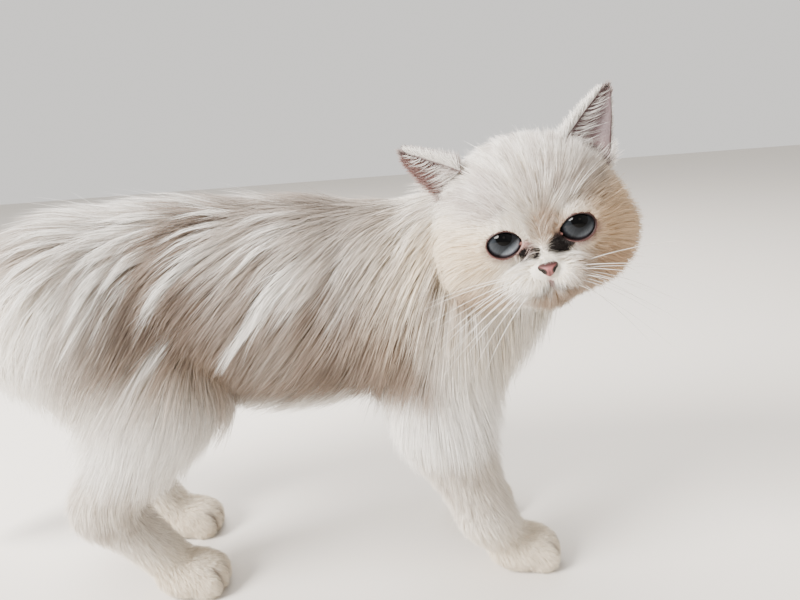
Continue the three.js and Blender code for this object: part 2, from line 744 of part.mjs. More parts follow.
const HEAD_MIDDLE = [0, -32, 0];
function addHead() {
  const field = closedBefore(coreField, HEAD_CUT, 2 * SPARE);
  const axes = [faceward, headLeft, headUp];
  let head = solidOf(starOf(field, fromHead(HEAD_MIDDLE), axes, HEAD_RINGS, HEAD_SIDES, 0.38));
  head = infront(head, HEAD_CUT);
  for (const side of [-1, 1]) {
    head = head.add(eyeball(side, EYE_RADIUS + LID_THICK)).subtract(eyeOpening(side));
    head = head.subtract(eyeball(side, EYE_RADIUS + PART_GAP));
    addNode(side < 0 ? "eye_right" : "eye_left", eyeball(side, EYE_RADIUS), finishes.eye);
  }
  for (const [name, ear] of Object.entries(ears)) {
    head = head.subtract(earSolid(ear, EAR_SOCKET, PART_GAP));
    addNode(name, earSolid(ear, EAR_RIBS, 0), finishes.ear);
  }
  for (const line of mouthLines) head = head.subtract(groove(line));
  head = head.subtract(nosePad(PART_GAP));
  addNode("nose", nosePad(0).subtract(nostril(-1)).subtract(nostril(1)), finishes.nose);
  addNode("head", head, finishes.coat);
}

addTrunk();
addTail();
for (const [name, cut] of Object.entries(legCuts)) addLeg(name, cut);
addHead();

// Long coat: flat, tapered locks. A lock starts sunk in the core, follows the coat's lie,
// and its tip stands as high as the coat does.
const LOCK_STATIONS = [0, 0.3, 0.66, 1];
const LOCK_WIDTHS = [0.6, 1, 0.76, 0];
const LOCK_HEIGHTS = [0, 0.28, 0.68, 1]; // share of the rise; the first is sunk instead
const LOCK_SINK = 5;
const DROOP = 0.35; // how far a lock's tip turns downward
const FALL_BACK = 0.35; // how much of its height over a core that curves away it loses
const SHEATH = 0.4; // clear space that a lock keeps from other nodes
const coats = {
  trunk: { length: 68, width: 27, along: 37, across: 24, thick: 3.4, least: 8, tries: 1800 },
  neck: { length: 54, width: 24, along: 32, across: 21, thick: 3.2, least: 8, tries: 1000 },
  cheek: { length: 28, width: 16, along: 19, across: 14, thick: 2.4, least: 7.3, tries: 700 },
  leg: { length: 48, width: 22, along: 31, across: 21, thick: 3, least: 10, tries: 800 },
  tail: { length: 50, width: 20, along: 30, across: 18, thick: 3, least: 8, tries: 500 },
  tip: { length: 34, width: 16, along: 22, across: 14, thick: 2.4, least: 7, tries: 400 },
};
const coatOf = {
  rump: "trunk", tail_tip: "tip", tail_middle: "tail", tail_base: "tail",
  hindleg_right: "leg", hindleg_left: "leg", foreleg_right: "leg", foreleg_left: "leg",
  belly: "trunk", chest: "trunk", neck: "neck", head: "cheek",
};

// A path over the core: at each station its place, the way out and the way along, and how
// far the core falls away under each edge of the lock
function lockPath(root, length, sway, width) {
  const path = [];
  let place = root;
  let last = 0;
  for (const [i, station] of LOCK_STATIONS.entries()) {
    const out = slope(coreField, place);
    const lie = add(coatAt(place).lie, [0, 0, -1], DROOP * station);
    const flat = unit(add(lie, out, -dot(lie, out)));
    const along = unit(add(flat, cross(out, flat), sway * (station - 0.3)));
    const across = cross(out, along);
    const half = (width / 2) * LOCK_WIDTHS[i];
    const falls = [half, -half].map((reach) => {
      const fall = coreField(add(place, across, reach));
      return Math.min(half * 0.6, Math.max(0, fall));
    });
    path.push({ place, out, across, along, half, falls });
    const next = LOCK_STATIONS[i + 1] ?? 1;
    place = add(place, along, (next - last) * length);
    last = next;
    for (let k = 0; k < 2; k++) {
      const off = coreField(place);
      place = add(place, slope(coreField, place), off < 0 ? -off : -FALL_BACK * off);
    }
  }
  return path;
}

function lockSolid(path, thick, rise, lift, grow) {
  const rings = path.map(({ place, out, across, along, half, falls }, i) => {
    const height = i === 0 ? -LOCK_SINK : rise * LOCK_HEIGHTS[i] + lift;
    const middle = add(place, out, height);
    if (i === path.length - 1) return [add(middle, along, grow)];
    const ridge = thick * (1 - 0.6 * LOCK_STATIONS[i]) + grow;
    const edge = (reach, fall) => add(add(middle, across, reach), out, -fall - grow);
    return [edge(half + 2 * grow, falls[0]), add(middle, out, ridge), edge(-half - 2 * grow, falls[1])];
  });
  return solidOf(loft(rings));
}

// Points spread at random over the skin of a solid, leaving out the faces of its cuts
function pointsOn(solid, count, random) {
  const { vertProperties: v, triVerts, numProp } = solid.getMesh();
  const corner = (i) => [v[i * numProp], v[i * numProp + 1], v[i * numProp + 2]];
  const faces = [];
  let area = 0;
  for (let i = 0; i < triVerts.length; i += 3) {
    const [a, b, c] = [0, 1, 2].map((k) => corner(triVerts[i + k]));
    area += size(cross(sub(b, a), sub(c, a)));
    faces.push([area, a, b, c]);
  }
  const points = [];
  for (let i = 0; i < count; i++) {
    const pick = random() * area;
    const [, a, b, c] = faces.find((face) => face[0] >= pick);
    const [s, t] = [Math.sqrt(random()), random()];
    const point = add(add(a, sub(b, a), s * (1 - t)), sub(c, a), s * t);
    if (Math.abs(coreField(point)) < 1.2) points.push(point);
  }
  return points;
}

const boxesMeet = (a, b) => [0, 1, 2].every((k) => a.min[k] <= b.max[k] && b.min[k] <= a.max[k]);
function crossesOthers(sheath, owner) {
  const box = sheath.boundingBox();
  for (const [name, node] of nodes) {
    if (name === owner) continue;
    for (const solid of [node.solid, ...node.locks])
      if (boxesMeet(box, solid.boundingBox()) && !sheath.intersect(solid).isEmpty()) return true;
  }
  return false;
}

// Where a lock would cross another node it is lifted, then shortened, or else left out
const LOCK_TRIALS = [[0, 1], [3, 1], [5, 0.9], [0, 0.65], [4, 0.7], [0, 0.5]];
const LOCK_FLOOR = 26; // no lock comes lower
const UNDERSIDE = -0.8; // skin that faces down as much as this stays bare
const placed = [];
function growLocks(name, kind, random) {
  const { solid, locks } = nodes.get(name);
  for (const root of pointsOn(solid, kind.tries, random)) {
    const { depth } = coatAt(root);
    const under = slope(coreField, root)[2] < UNDERSIDE;
    const near = placed.some(([point, along]) => {
      const way = sub(root, point);
      const ahead = dot(way, along);
      return Math.hypot(ahead / kind.along, size(add(way, along, -ahead)) / kind.across) < 1;
    });
    const length = kind.length * blend(0.85, 1.1, random());
    const sway = blend(-0.7, 0.7, random());
    const rise = depth * (1 - COAT_CORE) * blend(0.9, 1.15, random());
    if (near || under || depth < kind.least) continue;
    for (const [lift, share] of LOCK_TRIALS) {
      const width = kind.width * blend(0.4, 1, share);
      const path = lockPath(root, length * share, sway, width);
      if (path.some(({ place }) => place[2] < LOCK_FLOOR)) continue;
      if (crossesOthers(lockSolid(path, kind.thick, rise, lift, SHEATH), name)) continue;
      placed.push([root, path[0].along]);
      locks.push(lockSolid(path, kind.thick, rise, lift, 0));
      break;
    }
  }
}

const random = randomFrom(SEED);
for (const [name, kind] of Object.entries(coatOf)) growLocks(name, coats[kind], random);

// The model: each node is the largest closed body of its core and locks
const model = new THREE.Group();
for (const [name, { solid, look, locks }] of nodes) {
  const dressed = locks.reduce((all, lock) => all.add(lock), solid);
  const mesh = new THREE.Mesh(meshOf(largest(dressed)), look);
  mesh.name = name;
  model.add(mesh);
}

// The origin: under the middle of the whole, at floor level
const whole = new THREE.Box3().setFromObject(model);
const middle = whole.getCenter(new THREE.Vector3());
model.position.set(-middle.x, -middle.y, -whole.min.z);
export default model;
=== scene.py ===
import math

import bpy
import numpy as np
from mathutils import Matrix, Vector
from mathutils.kdtree import KDTree


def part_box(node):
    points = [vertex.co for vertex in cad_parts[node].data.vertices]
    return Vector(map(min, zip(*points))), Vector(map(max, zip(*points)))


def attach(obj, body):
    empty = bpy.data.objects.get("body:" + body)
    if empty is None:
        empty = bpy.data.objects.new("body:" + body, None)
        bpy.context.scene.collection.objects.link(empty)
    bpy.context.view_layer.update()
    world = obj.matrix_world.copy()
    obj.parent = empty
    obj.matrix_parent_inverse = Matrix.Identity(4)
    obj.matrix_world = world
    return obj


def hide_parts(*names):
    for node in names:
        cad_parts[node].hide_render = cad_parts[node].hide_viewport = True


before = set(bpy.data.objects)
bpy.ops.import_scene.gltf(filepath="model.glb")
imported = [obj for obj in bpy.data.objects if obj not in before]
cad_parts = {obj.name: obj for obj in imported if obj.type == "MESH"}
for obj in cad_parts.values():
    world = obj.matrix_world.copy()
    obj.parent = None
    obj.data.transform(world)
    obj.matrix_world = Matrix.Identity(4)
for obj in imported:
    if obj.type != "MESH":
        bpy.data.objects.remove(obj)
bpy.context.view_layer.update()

# A standing long-haired cat. Sizes are in millimetres on the axes that the solids are
# drawn on: +X runs to the chest, the head looks along -Y, and the floor is at z = 0.
# Every piece is moved to the frame, in metres, when it is made.
MM = 1000
EYE_RIGHT_DRAWN = np.array([53.37, -84.92, 238.53])
low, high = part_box("eye_right")
SHIFT = (np.array(low) + np.array(high)) / 2 * MM - EYE_RIGHT_DRAWN
SHIFT[2] = 0
random = np.random.default_rng(20266)


# Helpers for arrays of points, one to a row
def length(v):
    return np.sqrt(np.einsum("...i,...i->...", v, v))


def unit(v):
    v = np.asarray(v, float)
    return v / np.maximum(length(v), 1e-9)[..., None]


def dot(a, b):
    return np.einsum("...i,...i->...", a, b)


def mix(a, b, t):
    return a + (b - a) * t


def step(low, high, value):
    t = np.clip((value - low) / (high - low), 0, 1)
    return t * t * (3 - 2 * t)


def smooth_min(a, b, k):
    h = np.maximum(k - np.abs(a - b), 0) / k
    return np.minimum(a, b) - h * h * k / 4


def smooth_max(a, b, k):
    return -smooth_min(-a, -b, k)


def waves(p, size, seed):
    """Smooth noise from about -1 to 1, as a sum of crossing waves"""
    turn = np.random.default_rng(seed)
    total = np.zeros(len(p))
    for _ in range(7):
        way = unit(turn.normal(size=3)) * 2 * math.pi / size * turn.uniform(0.6, 1.6)
        total += np.sin(p @ way + turn.uniform(0, 6.3))
    return total / 3.2


# Muscles: each has a distance, the way its coat lies, and the coat's depth
class Muscle:
    def __init__(self, distance, lie=(0, 0, -1), coat=0.0):
        self.distance = distance
        self.lie = unit(lie)
        self.coat = coat


def oval(centre, radii, lie=(0, 0, -1), coat=0.0):
    radii = np.array(radii, float)

    def distance(p):
        d = p - centre
        k0 = length(d / radii)
        k1 = length(d / radii**2)
        return k0 * (k0 - 1) / np.maximum(k1, 1e-9)

    return Muscle(distance, lie, coat)


def limb(start, end, start_radius, end_radius, lie=(0, 0, -1), coat=0.0):
    start = np.array(start, float)
    along = np.array(end, float) - start

    def distance(p):
        t = np.clip((p - start) @ along / (along @ along), 0, 1)
        return length(p - start - t[:, None] * along) - mix(start_radius, end_radius, t)

    return Muscle(distance, lie, coat)


def joined(muscles, blend):
    def distance(p):
        total = muscles[0].distance(p)
        for muscle in muscles[1:]:
            total = smooth_min(total, muscle.distance(p), blend)
        return total

    return distance


TRUNK = [
    oval([-207, 0, 203], [60, 42, 45], [-0.8, 0, -0.8], 22),
    oval([-140, 0, 203], [70, 44, 50], [-1, 0, -0.6], 17),
    oval([-65, 0, 197], [85, 49, 53], [-1, 0, -0.75], 17),
    oval([5, 0, 192], [52, 46, 50], [-0.7, 0, -1], 16),
    oval([36, -3, 176], [31, 34, 36], [-0.1, 0, -1], 22),
]
TRUNK_BLEND = 22
NECK = [
    limb([4, 0, 200], [44, 2, 213], 42, 38, [-0.6, 0, -1], 20),
    limb([44, 2, 213], [74, -26, 235], 38, 36, [-0.3, 0, -1], 18),
]
NECK_BLEND = 24

TAIL_X = [-225, -262, -298, -326, -341, -352, -366]
TAIL_Y = [0, 0, 4, 9, 14, 19, 24]
TAIL_Z = [214, 222, 214, 182, 134, 90, 52]
TAIL_LINE = np.array([TAIL_X, TAIL_Y, TAIL_Z], float).T
TAIL_RADII = [23, 17, 14, 12, 10.5, 8.5, 4]
TAIL_COATS = [20, 20, 20, 19, 16, 8]
TAIL_BLEND = 10
TAIL = [
    limb(a, b, TAIL_RADII[i], TAIL_RADII[i + 1], b - a, TAIL_COATS[i])
    for i, (a, b) in enumerate(zip(TAIL_LINE, TAIL_LINE[1:]))
]

# Legs: joints from the body down, then the middle of the paw
FORE = {"radii": [27, 20, 13, 12.5], "coats": [15, 9, 4.5], "lie": [0, 0, -1]}
HIND = {"radii": [37, 26, 13.5, 12], "coats": [18, 12, 5], "lie": [-0.45, 0, -1]}
LEGS = {
    "foreleg_right": (
        FORE,
        [[22, -28, 180], [22, -36, 117], [47, -31, 44], [61, -27, 22]],
        [73, -26, 12],
    ),
    "foreleg_left": (
        FORE,
        [[18, 28, 180], [12, 36, 117], [36, 37, 44], [46, 37, 22]],
        [53, 37, 12],
    ),
    "hindleg_right": (
        HIND,
        [[-200, -26, 200], [-153, -36, 147], [-204, -34, 74], [-170, -28, 23]],
        [-157, -28, 12],
    ),
    "hindleg_left": (
        HIND,
        [[-208, 26, 200], [-172, 36, 147], [-228, 38, 76], [-192, 38, 23]],
        [-179, 38, 12],
    ),
}
HINDMOST_LEG = -262
TOE_COUNT = 4
TOE_SPREAD = 7.4
TOE_REACH = 15
TOE_CURVE = 2.6
TOE_DROP = 3.5
TOE_RADII = [9.5, 4.9, 8.6]
TOE_COAT = 2.8
PAW_RADII = [23, 16, 13.5]
PAW_COAT = 3.6
LEG_BLEND = 12
TOE_BLEND = 1.6
PAW_BLEND = 6
LEG_TO_TRUNK = 26


def leg_limbs(kind, joints):
    joints = np.array(joints, float)
    pieces = []
    for i in range(3):
        a, b = joints[i], joints[i + 1]
        lie = b - a if i else kind["lie"]
        pieces.append(limb(a, b, kind["radii"][i], kind["radii"][i + 1], lie, kind["coats"][i]))
    return pieces


def toe_places(paw):
    places = []
    for i in range(TOE_COUNT):
        place = i - (TOE_COUNT - 1) / 2
        ahead = TOE_REACH - abs(place) * TOE_CURVE
        places.append([paw[0] + ahead, paw[1] + place * TOE_SPREAD, paw[2] - TOE_DROP])
    return places


def paw_ovals(paw):
    toes = [oval(at, TOE_RADII, [0.8, 0, -0.6], TOE_COAT) for at in toe_places(paw)]
    return [oval(paw, PAW_RADII, [0.7, 0, -0.7], PAW_COAT), *toes]


LIMBS = {name: leg_limbs(kind, joints) for name, (kind, joints, _) in LEGS.items()}
PAWS = {name: paw_ovals(paw) for name, (_, _, paw) in LEGS.items()}

# Head: its own axes, with the origin midway between the eyes. X is to the cat's left, Y is
# out of the face and Z is up.
HEAD_AT = np.array([71, -88, 242.0])
HEAD_YAW = math.radians(6.7)
HEAD_ROLL = math.radians(11)
FACEWARD = np.array([-math.sin(HEAD_YAW), -math.cos(HEAD_YAW), 0])
LEVEL_LEFT = np.array([math.cos(HEAD_YAW), -math.sin(HEAD_YAW), 0])
HEAD_LEFT = unit(LEVEL_LEFT * math.cos(HEAD_ROLL) + np.array([0, 0, math.sin(HEAD_ROLL)]))
HEAD_UP = unit(np.cross(FACEWARD, HEAD_LEFT))
HEAD_AXES = np.array([HEAD_LEFT, FACEWARD, HEAD_UP])


def from_head(q):
    return np.asarray(q, float) @ HEAD_AXES + HEAD_AT


def to_head(p):
    return (p - HEAD_AT) @ HEAD_AXES.T


def pair(centre, radii):
    """The same oval on both sides of the head"""
    return [oval([side * centre[0], *centre[1:]], radii) for side in (1, -1)]


EYE_APART = 18.2
EYE_RADIUS = 10
EYES = {"eye_right": np.array([-EYE_APART, -1, 0]), "eye_left": np.array([EYE_APART, -1, 0])}
EYE_OPENING = {"wide": 8.1, "corner": 1.0, "slant": 0.9, "bend": 0.22, "up": 5.9, "down": 6.9}
LID_THICK = 1.3
LID_BLEND = 5
SKULL = [
    oval([0, -42, 9], [41, 38, 32]),
    oval([0, -15, 14], [27, 21, 20]),
    *pair([24, -28, -11], [24.5, 25, 24]),
    oval([0, -22, -21], [25, 25, 17]),
]
MUZZLE = [
    *pair([7.3, 3, -21.5], [10, 10.5, 8]),
    limb([0, -4, 2], [0, 5.5, -12], 8, 6),
    oval([0, -1, -30], [9, 9.5, 6]),
]
ORBITS = pair([18.5, -7, 1], [15, 11.5, 13.5])
SKULL_BLEND = 14
MUZZLE_BLEND = 5
ORBIT_TO_SKULL = 8
MUZZLE_TO_SKULL = 9
HEAD_TO_NECK = 12
NOSE_AT = np.array([0, 10.5, -16.3])
FACE_COAT = 4.5
CHEEK_COAT = 9
LIP = [[0, 12, -24.2], [3.5, 12, -26.8], [8, 10.5, -27.6], [12, 8, -26.4], [15, 4, -27.5]]
MOUTH_LINES = [
    [[0, 13, -19.5], [0, 12.5, -22], [0, 12, -24.5]],
    LIP,
    [[-x, y, z] for x, y, z in LIP],
]
MOUTH_RADIUS = 1.1


def from_lines(q, lines):
    """Distance to the nearest of some bent lines"""
    nearest = np.full(len(q), 1e9)
    for line in lines:
        for a, b in zip(line, line[1:]):
            nearest = np.minimum(nearest, limb(a, b, 0, 0).distance(q))
    return nearest


def from_opening(e, side, margin=0.0):
    """How far out from the middle of an eye's opening: 1 at its edge, with a low inner corner"""
    inner = np.maximum(-side * e[:, 0], 0) / (EYE_OPENING["wide"] + EYE_OPENING["corner"] + margin)
    outer = np.maximum(side * e[:, 0], 0) / (EYE_OPENING["wide"] + margin)
    z = e[:, 2] + EYE_OPENING["slant"] * inner**2
    tall = np.where(z > 0, EYE_OPENING["up"], EYE_OPENING["down"]) + margin
    return np.hypot(inner + outer, z / tall * (1 + EYE_OPENING["bend"] * inner**2))


def near_eyes(q, low, high):
    """1 round the eyes' openings, falling to 0 further out"""
    near = np.zeros(len(q))
    for eye in EYES.values():
        e = q - eye
        near = np.maximum(near, step(high, low, np.hypot(e[:, 0], e[:, 2])) * step(-9, -3, e[:, 1]))
    return near


def head_coat(q):
    """Depth of the head's coat: almost none at the nose, short on the face, long on the cheeks"""
    from_nose = length(q - [0, 14, -16])
    short = FACE_COAT * np.clip(0.12 + from_nose / 18, 0, 1)
    coat = mix(short, CHEEK_COAT, np.clip((from_nose - 25) / 40, 0, 1))
    return coat * (1 - 0.75 * near_eyes(q, 8, 16))


def head_lie(q):
    """The way the head's coat lies: back from the nose, parting round the eyes"""
    away = q - [0, 14, -14]
    lie = unit(np.stack([away[:, 0], -np.abs(away[:, 1]) - 8, away[:, 2] - 10], 1))
    for eye in EYES.values():
        e = (q - eye) * [1, 0, 1]
        near = step(17, 9, length(e)) * step(-12, -4, (q - eye)[:, 1])
        out = unit(e)
        inward = np.minimum(dot(lie, out), 0)
        lie = lie - out * (inward * near * 1.5)[:, None] + out * (0.25 * near)[:, None]
    return unit(lie)


def head_field(p):
    q = to_head(p)
    d = joined(SKULL, SKULL_BLEND)(q)
    d = smooth_min(d, joined(ORBITS, MUZZLE_BLEND)(q), ORBIT_TO_SKULL)
    d = smooth_min(d, joined(MUZZLE, MUZZLE_BLEND)(q), MUZZLE_TO_SKULL)
    for eye in EYES.values():
        e = q - eye
        d = smooth_min(d, length(e) - EYE_RADIUS - LID_THICK, LID_BLEND)
        cut = (1 - from_opening(e, np.sign(eye[0]))) * 6.5
        d = smooth_max(d, np.minimum(cut, e[:, 1] - 1), 1)
    return smooth_max(d, MOUTH_RADIUS - from_lines(q, MOUTH_LINES), 1.2)


BODY = [*TRUNK, *NECK, *TAIL]
for leg in LEGS:
    BODY += [*LIMBS[leg], *PAWS[leg]]
LIE_REACH = 9


def coat_at(p):
    """The lie and the depth of the coat, weighed by how near each muscle is"""
    q = to_head(p)
    near = [muscle.distance(p) for muscle in BODY] + [head_field(p)]
    least = np.min(near, axis=0)
    total = np.zeros(len(p))
    lie = np.zeros((len(p), 3))
    depth = np.zeros(len(p))
    ways = [muscle.lie for muscle in BODY] + [head_lie(q) @ HEAD_AXES]
    coats = [muscle.coat for muscle in BODY] + [head_coat(q)]
    for d, way, coat in zip(near, ways, coats):
        weight = np.exp((least - d) / LIE_REACH)
        total += weight
        lie += weight[:, None] * way
        depth += weight * coat
    return unit(lie), depth / total


def skin_field(p):
    d = smooth_min(joined(TRUNK, TRUNK_BLEND)(p), joined(TAIL, TAIL_BLEND)(p), TAIL_BLEND)
    for leg in LEGS:
        shaft = joined(LIMBS[leg], LEG_BLEND)(p)
        whole = smooth_min(shaft, joined(PAWS[leg], TOE_BLEND)(p), PAW_BLEND)
        d = smooth_min(d, whole, LEG_TO_TRUNK)
    d = smooth_min(d, joined(NECK, NECK_BLEND)(p), NECK_BLEND)
    d = smooth_min(d, head_field(p), HEAD_TO_NECK)
    return np.maximum(d, -p[:, 2])


def slope(field, p, reach=0.4):
    """The way out of a field"""
    d = []
    for axis in np.eye(3) * reach:
        d.append(field(p + axis) - field(p - axis))
    return unit(np.stack(d, 1))


# Skin meshed from the field, on a grid that is finer round the head
def grid_line(low, high, fine_low, fine_high, coarse, fine):
    return np.concatenate(
        [
            np.arange(low, fine_low, coarse),
            np.arange(fine_low, fine_high, fine),
            np.arange(fine_high, high, coarse),
        ]
    )


def grid_places(lines, index):
    return np.stack([line[index[:, k]] for k, line in enumerate(lines)], 1)


def sampled(field, lines, block=4):
    """The field on a grid, worked out only in the blocks that its surface may pass through"""
    shape = np.array([len(line) for line in lines])
    starts = [np.arange(0, n, block) for n in shape]
    ends = [np.minimum(s + block, n - 1) for s, n in zip(starts, shape)]
    middles = [(line[s] + line[e]) / 2 for line, s, e in zip(lines, starts, ends)]
    reaches = [(line[e] - line[s]) / 2 for line, s, e in zip(lines, starts, ends)]
    centres = np.stack(np.meshgrid(*middles, indexing="ij"), -1)
    reach = length(np.stack(np.meshgrid(*reaches, indexing="ij"), -1))
    d = field(centres.reshape(-1, 3)).reshape(reach.shape)
    values = np.where(d < 0, -50.0, 50.0)
    for axis in range(3):
        values = np.repeat(values, block, axis=axis)
    values = values[: shape[0], : shape[1], : shape[2]]
    near = np.argwhere(np.abs(d) < reach * 1.5 + 3) * block
    steps = np.stack(np.meshgrid(*[np.arange(block)] * 3, indexing="ij"), -1).reshape(-1, 3)
    index = (near[:, None, :] + steps).reshape(-1, 3)
    index = index[(index < shape).all(1)]
    values[tuple(index.T)] = field(grid_places(lines, index))
    return values


def surface(field, lines, settle=2):
    """A closed mesh of a field: one point in each cell that its surface passes through"""
    values = sampled(field, lines)
    inside = values < 0
    corners = np.array([[i, j, k] for i in (0, 1) for j in (0, 1) for k in (0, 1)])
    cells = tuple(n - 1 for n in values.shape)
    count = np.zeros(cells, np.int8)
    for i, j, k in corners:
        count += inside[i : i + cells[0], j : j + cells[1], k : k + cells[2]]
    mixed = (count > 0) & (count < 8)
    at = np.argwhere(mixed)
    number = np.full(cells, -1)
    number[mixed] = np.arange(len(at))

    total = np.zeros((len(at), 3))
    hits = np.zeros(len(at))
    for a in corners:
        for b in corners:
            if (b - a).sum() != 1 or (b < a).any():
                continue
            ia, ib = at + a, at + b
            va, vb = values[tuple(ia.T)], values[tuple(ib.T)]
            crossed = (va < 0) != (vb < 0)
            t = np.where(crossed, va / np.where(crossed, va - vb, 1), 0)
            crossing = mix(grid_places(lines, ia), grid_places(lines, ib), t[:, None])
            total += np.where(crossed[:, None], crossing, 0)
            hits += crossed
    points = total / hits[:, None]
    for _ in range(settle):
        points -= slope(field, points) * np.clip(field(points), -1, 1)[:, None] * 0.8

    faces = []
    for axis in range(3):
        du, dv = np.eye(3, dtype=int)[(axis + 1) % 3], np.eye(3, dtype=int)[(axis + 2) % 3]
        low_end = np.take(inside, np.arange(inside.shape[axis] - 1), axis)
        high_end = np.take(inside, np.arange(1, inside.shape[axis]), axis)
        edges = np.argwhere(low_end != high_end)
        rounds = [edges - du - dv, edges - dv, edges, edges - du]
        good = (rounds[0] >= 0).all(1) & (edges < cells).all(1)
        quad = np.stack([number[tuple(cell[good].T)] for cell in rounds], 1)
        outward = low_end[tuple(edges[good].T)]
        quad = np.where(outward[:, None], quad, quad[:, ::-1])
        faces += [quad[:, [0, 1, 2]], quad[:, [0, 2, 3]]]
    return points, np.concatenate(faces)


# Pieces and their materials
def srgb(r, g, b):
    return np.array([(c / 255) ** 2.2 for c in (r, g, b)])


def make(name, points, faces, material, body_nodes=(), slot="coat", uv=None, **attributes):
    """A piece from points in millimetres, with its attributes, in its place on the frame"""
    mesh = bpy.data.meshes.new(name)
    points = np.asarray(points, float)
    mesh.vertices.add(len(points))
    mesh.vertices.foreach_set("co", ((points + SHIFT) / MM).astype(np.float32).ravel())
    faces = np.asarray(faces, np.int32)
    mesh.loops.add(faces.size)
    mesh.loops.foreach_set("vertex_index", faces.ravel())
    mesh.polygons.add(len(faces))
    mesh.polygons.foreach_set("loop_start", np.arange(0, faces.size, 3, dtype=np.int32))
    mesh.polygons.foreach_set("loop_total", np.full(len(faces), 3, np.int32))
    mesh.polygons.foreach_set("use_smooth", np.ones(len(faces), bool))
    for key, value in attributes.items():
        if key == "tint":
            layer = mesh.color_attributes.new(name=key, type="FLOAT_COLOR", domain="POINT")
            rgba = np.concatenate([value, np.ones((len(value), 1))], 1)
            layer.data.foreach_set("color", rgba.astype(np.float32).ravel())
        else:
            layer = mesh.attributes.new(name=key, type="FLOAT_VECTOR", domain="POINT")
            layer.data.foreach_set("vector", np.asarray(value, np.float32).ravel())
    if uv is not None:
        layer = mesh.uv_layers.new(name="OFBake")
        layer.uv.foreach_set("vector", uv[faces.ravel()].astype(np.float32).ravel())
    mesh.update(calc_edges=True)
    piece = bpy.data.objects.new(name, mesh)
    bpy.context.scene.collection.objects.link(piece)
    mesh.materials.append(material)
    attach(piece, "root")
    if body_nodes:
        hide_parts(*body_nodes)
    return piece


def nodes_of(name):
    """A new material, its tree and its shader"""
    material = bpy.data.materials.new(name)
    material.use_nodes = True
    tree = material.node_tree
    return material, tree, tree.nodes["Principled BSDF"]


def node(tree, kind, inputs=None, operation=None):
    """A node with a constant or another node's output on each of the inputs given"""
    made = tree.nodes.new("ShaderNode" + kind)
    if operation:
        made.operation = operation
    for key, value in (inputs or {}).items():
        if isinstance(value, bpy.types.NodeSocket):
            tree.links.new(value, made.inputs[key])
        else:
            made.inputs[key].default_value = value
    return made


def ranged(tree, value, before, after):
    """A value moved from one range to another"""
    ends = dict(zip(["From Min", "From Max", "To Min", "To Max"], [*before, *after]))
    return node(tree, "MapRange", {"Value": value, **ends}).outputs["Result"]


def scaled(tree, colour, factor):
    return node(tree, "VectorMath", {0: colour, "Scale": factor}, "SCALE").outputs["Vector"]


def tinted(name, roughness, grain_size, grain, see_through=0.0, bump=0.0, sheen=0.0):
    """The piece's own tint, with a fine grain, and for hair some light through it"""
    material, tree, shader = nodes_of(name)
    tint = node(tree, "VertexColor")
    tint.layer_name = "tint"
    place = node(tree, "TexCoord").outputs["Object"]
    noise = node(tree, "TexNoise", {"Scale": grain_size, "Detail": 2, "Vector": place}).outputs["Fac"]
    lightness = ranged(tree, noise, (0.3, 0.7), (1 - grain, 1 + grain * 0.5))
    colour = scaled(tree, tint.outputs["Color"], lightness)
    tree.links.new(colour, shader.inputs["Base Color"])
    shader.inputs["Roughness"].default_value = roughness
    shader.inputs["Specular IOR Level"].default_value = 0.25
    shader.inputs["Sheen Weight"].default_value = sheen
    if bump:
        raised = node(tree, "Bump", {"Strength": bump, "Distance": 0.0006, "Height": noise})
        tree.links.new(raised.outputs["Normal"], shader.inputs["Normal"])
    if see_through:
        glow = node(tree, "BsdfTranslucent", {"Color": colour}).outputs["BSDF"]
        both = node(tree, "MixShader", {"Fac": see_through, 1: shader.outputs["BSDF"], 2: glow})
        tree.links.new(both.outputs["Shader"], tree.nodes["Material Output"].inputs["Surface"])
    return material


SKIN_LOOK = tinted("skin_under_coat", 0.8, 900, 0.12, bump=0.4)
COAT_LOOK = tinted("long_hair", 0.5, 260, 0.08, see_through=0.34, sheen=0.1)
BARE_LOOK = tinted("bare_skin", 0.42, 1500, 0.15, bump=0.35)

WHITE = srgb(246, 243, 238)
CREAM = srgb(240, 229, 209)
TAUPE = srgb(112, 94, 80)
ASH = srgb(158, 142, 129)
HONEY = srgb(222, 196, 150)
TAN = srgb(190, 158, 128)
LILAC = srgb(176, 162, 158)
PINK = srgb(196, 140, 132)
BROWN = srgb(92, 68, 62)
STAIN = srgb(26, 18, 16)


def spot(q, centre, radii):
    """1 at the middle of an oval patch, falling to 0 past its edge"""
    return step(1.25, 0.55, length((q - centre) / np.array(radii, float)))


def blend(colour, other, share):
    return mix(colour, other, np.clip(share, 0, 1)[:, None])


# The long white locks on the flank, by their place across the lie and their half width
STREAKS = [(282, 4.5), (263, 5), (249, 3)]


def streaky(p):
    """1 on the long white locks that sweep down and back over the flank"""
    x, z = p[:, 0], p[:, 2]
    across = -0.78 * x + 0.62 * z
    along = 0.62 * x + 0.78 * z
    fine = waves(np.stack([across, along * 0.14, p[:, 1] * 0.2], 1), 12, 21)
    share = step(0.75, 1.1, fine) * 0.75
    for place, half in STREAKS:
        share = np.maximum(share, np.exp(-(((across - place) / half) ** 4)) * step(218, 234, z))
    return share * step(-230, -200, x) * step(0, -24, x) * step(176, 206, z)


class Coat:
    """The colours of the coat's roots and tips, laid on patch by patch"""

    def __init__(self, count):
        self.root = np.tile(CREAM * 0.92, (count, 1))
        self.tip = np.tile(WHITE, (count, 1))

    def paint(self, share, root, root_share, tip, tip_share):
        self.root = blend(self.root, root, share * root_share)
        self.tip = blend(self.tip, tip, share * tip_share)


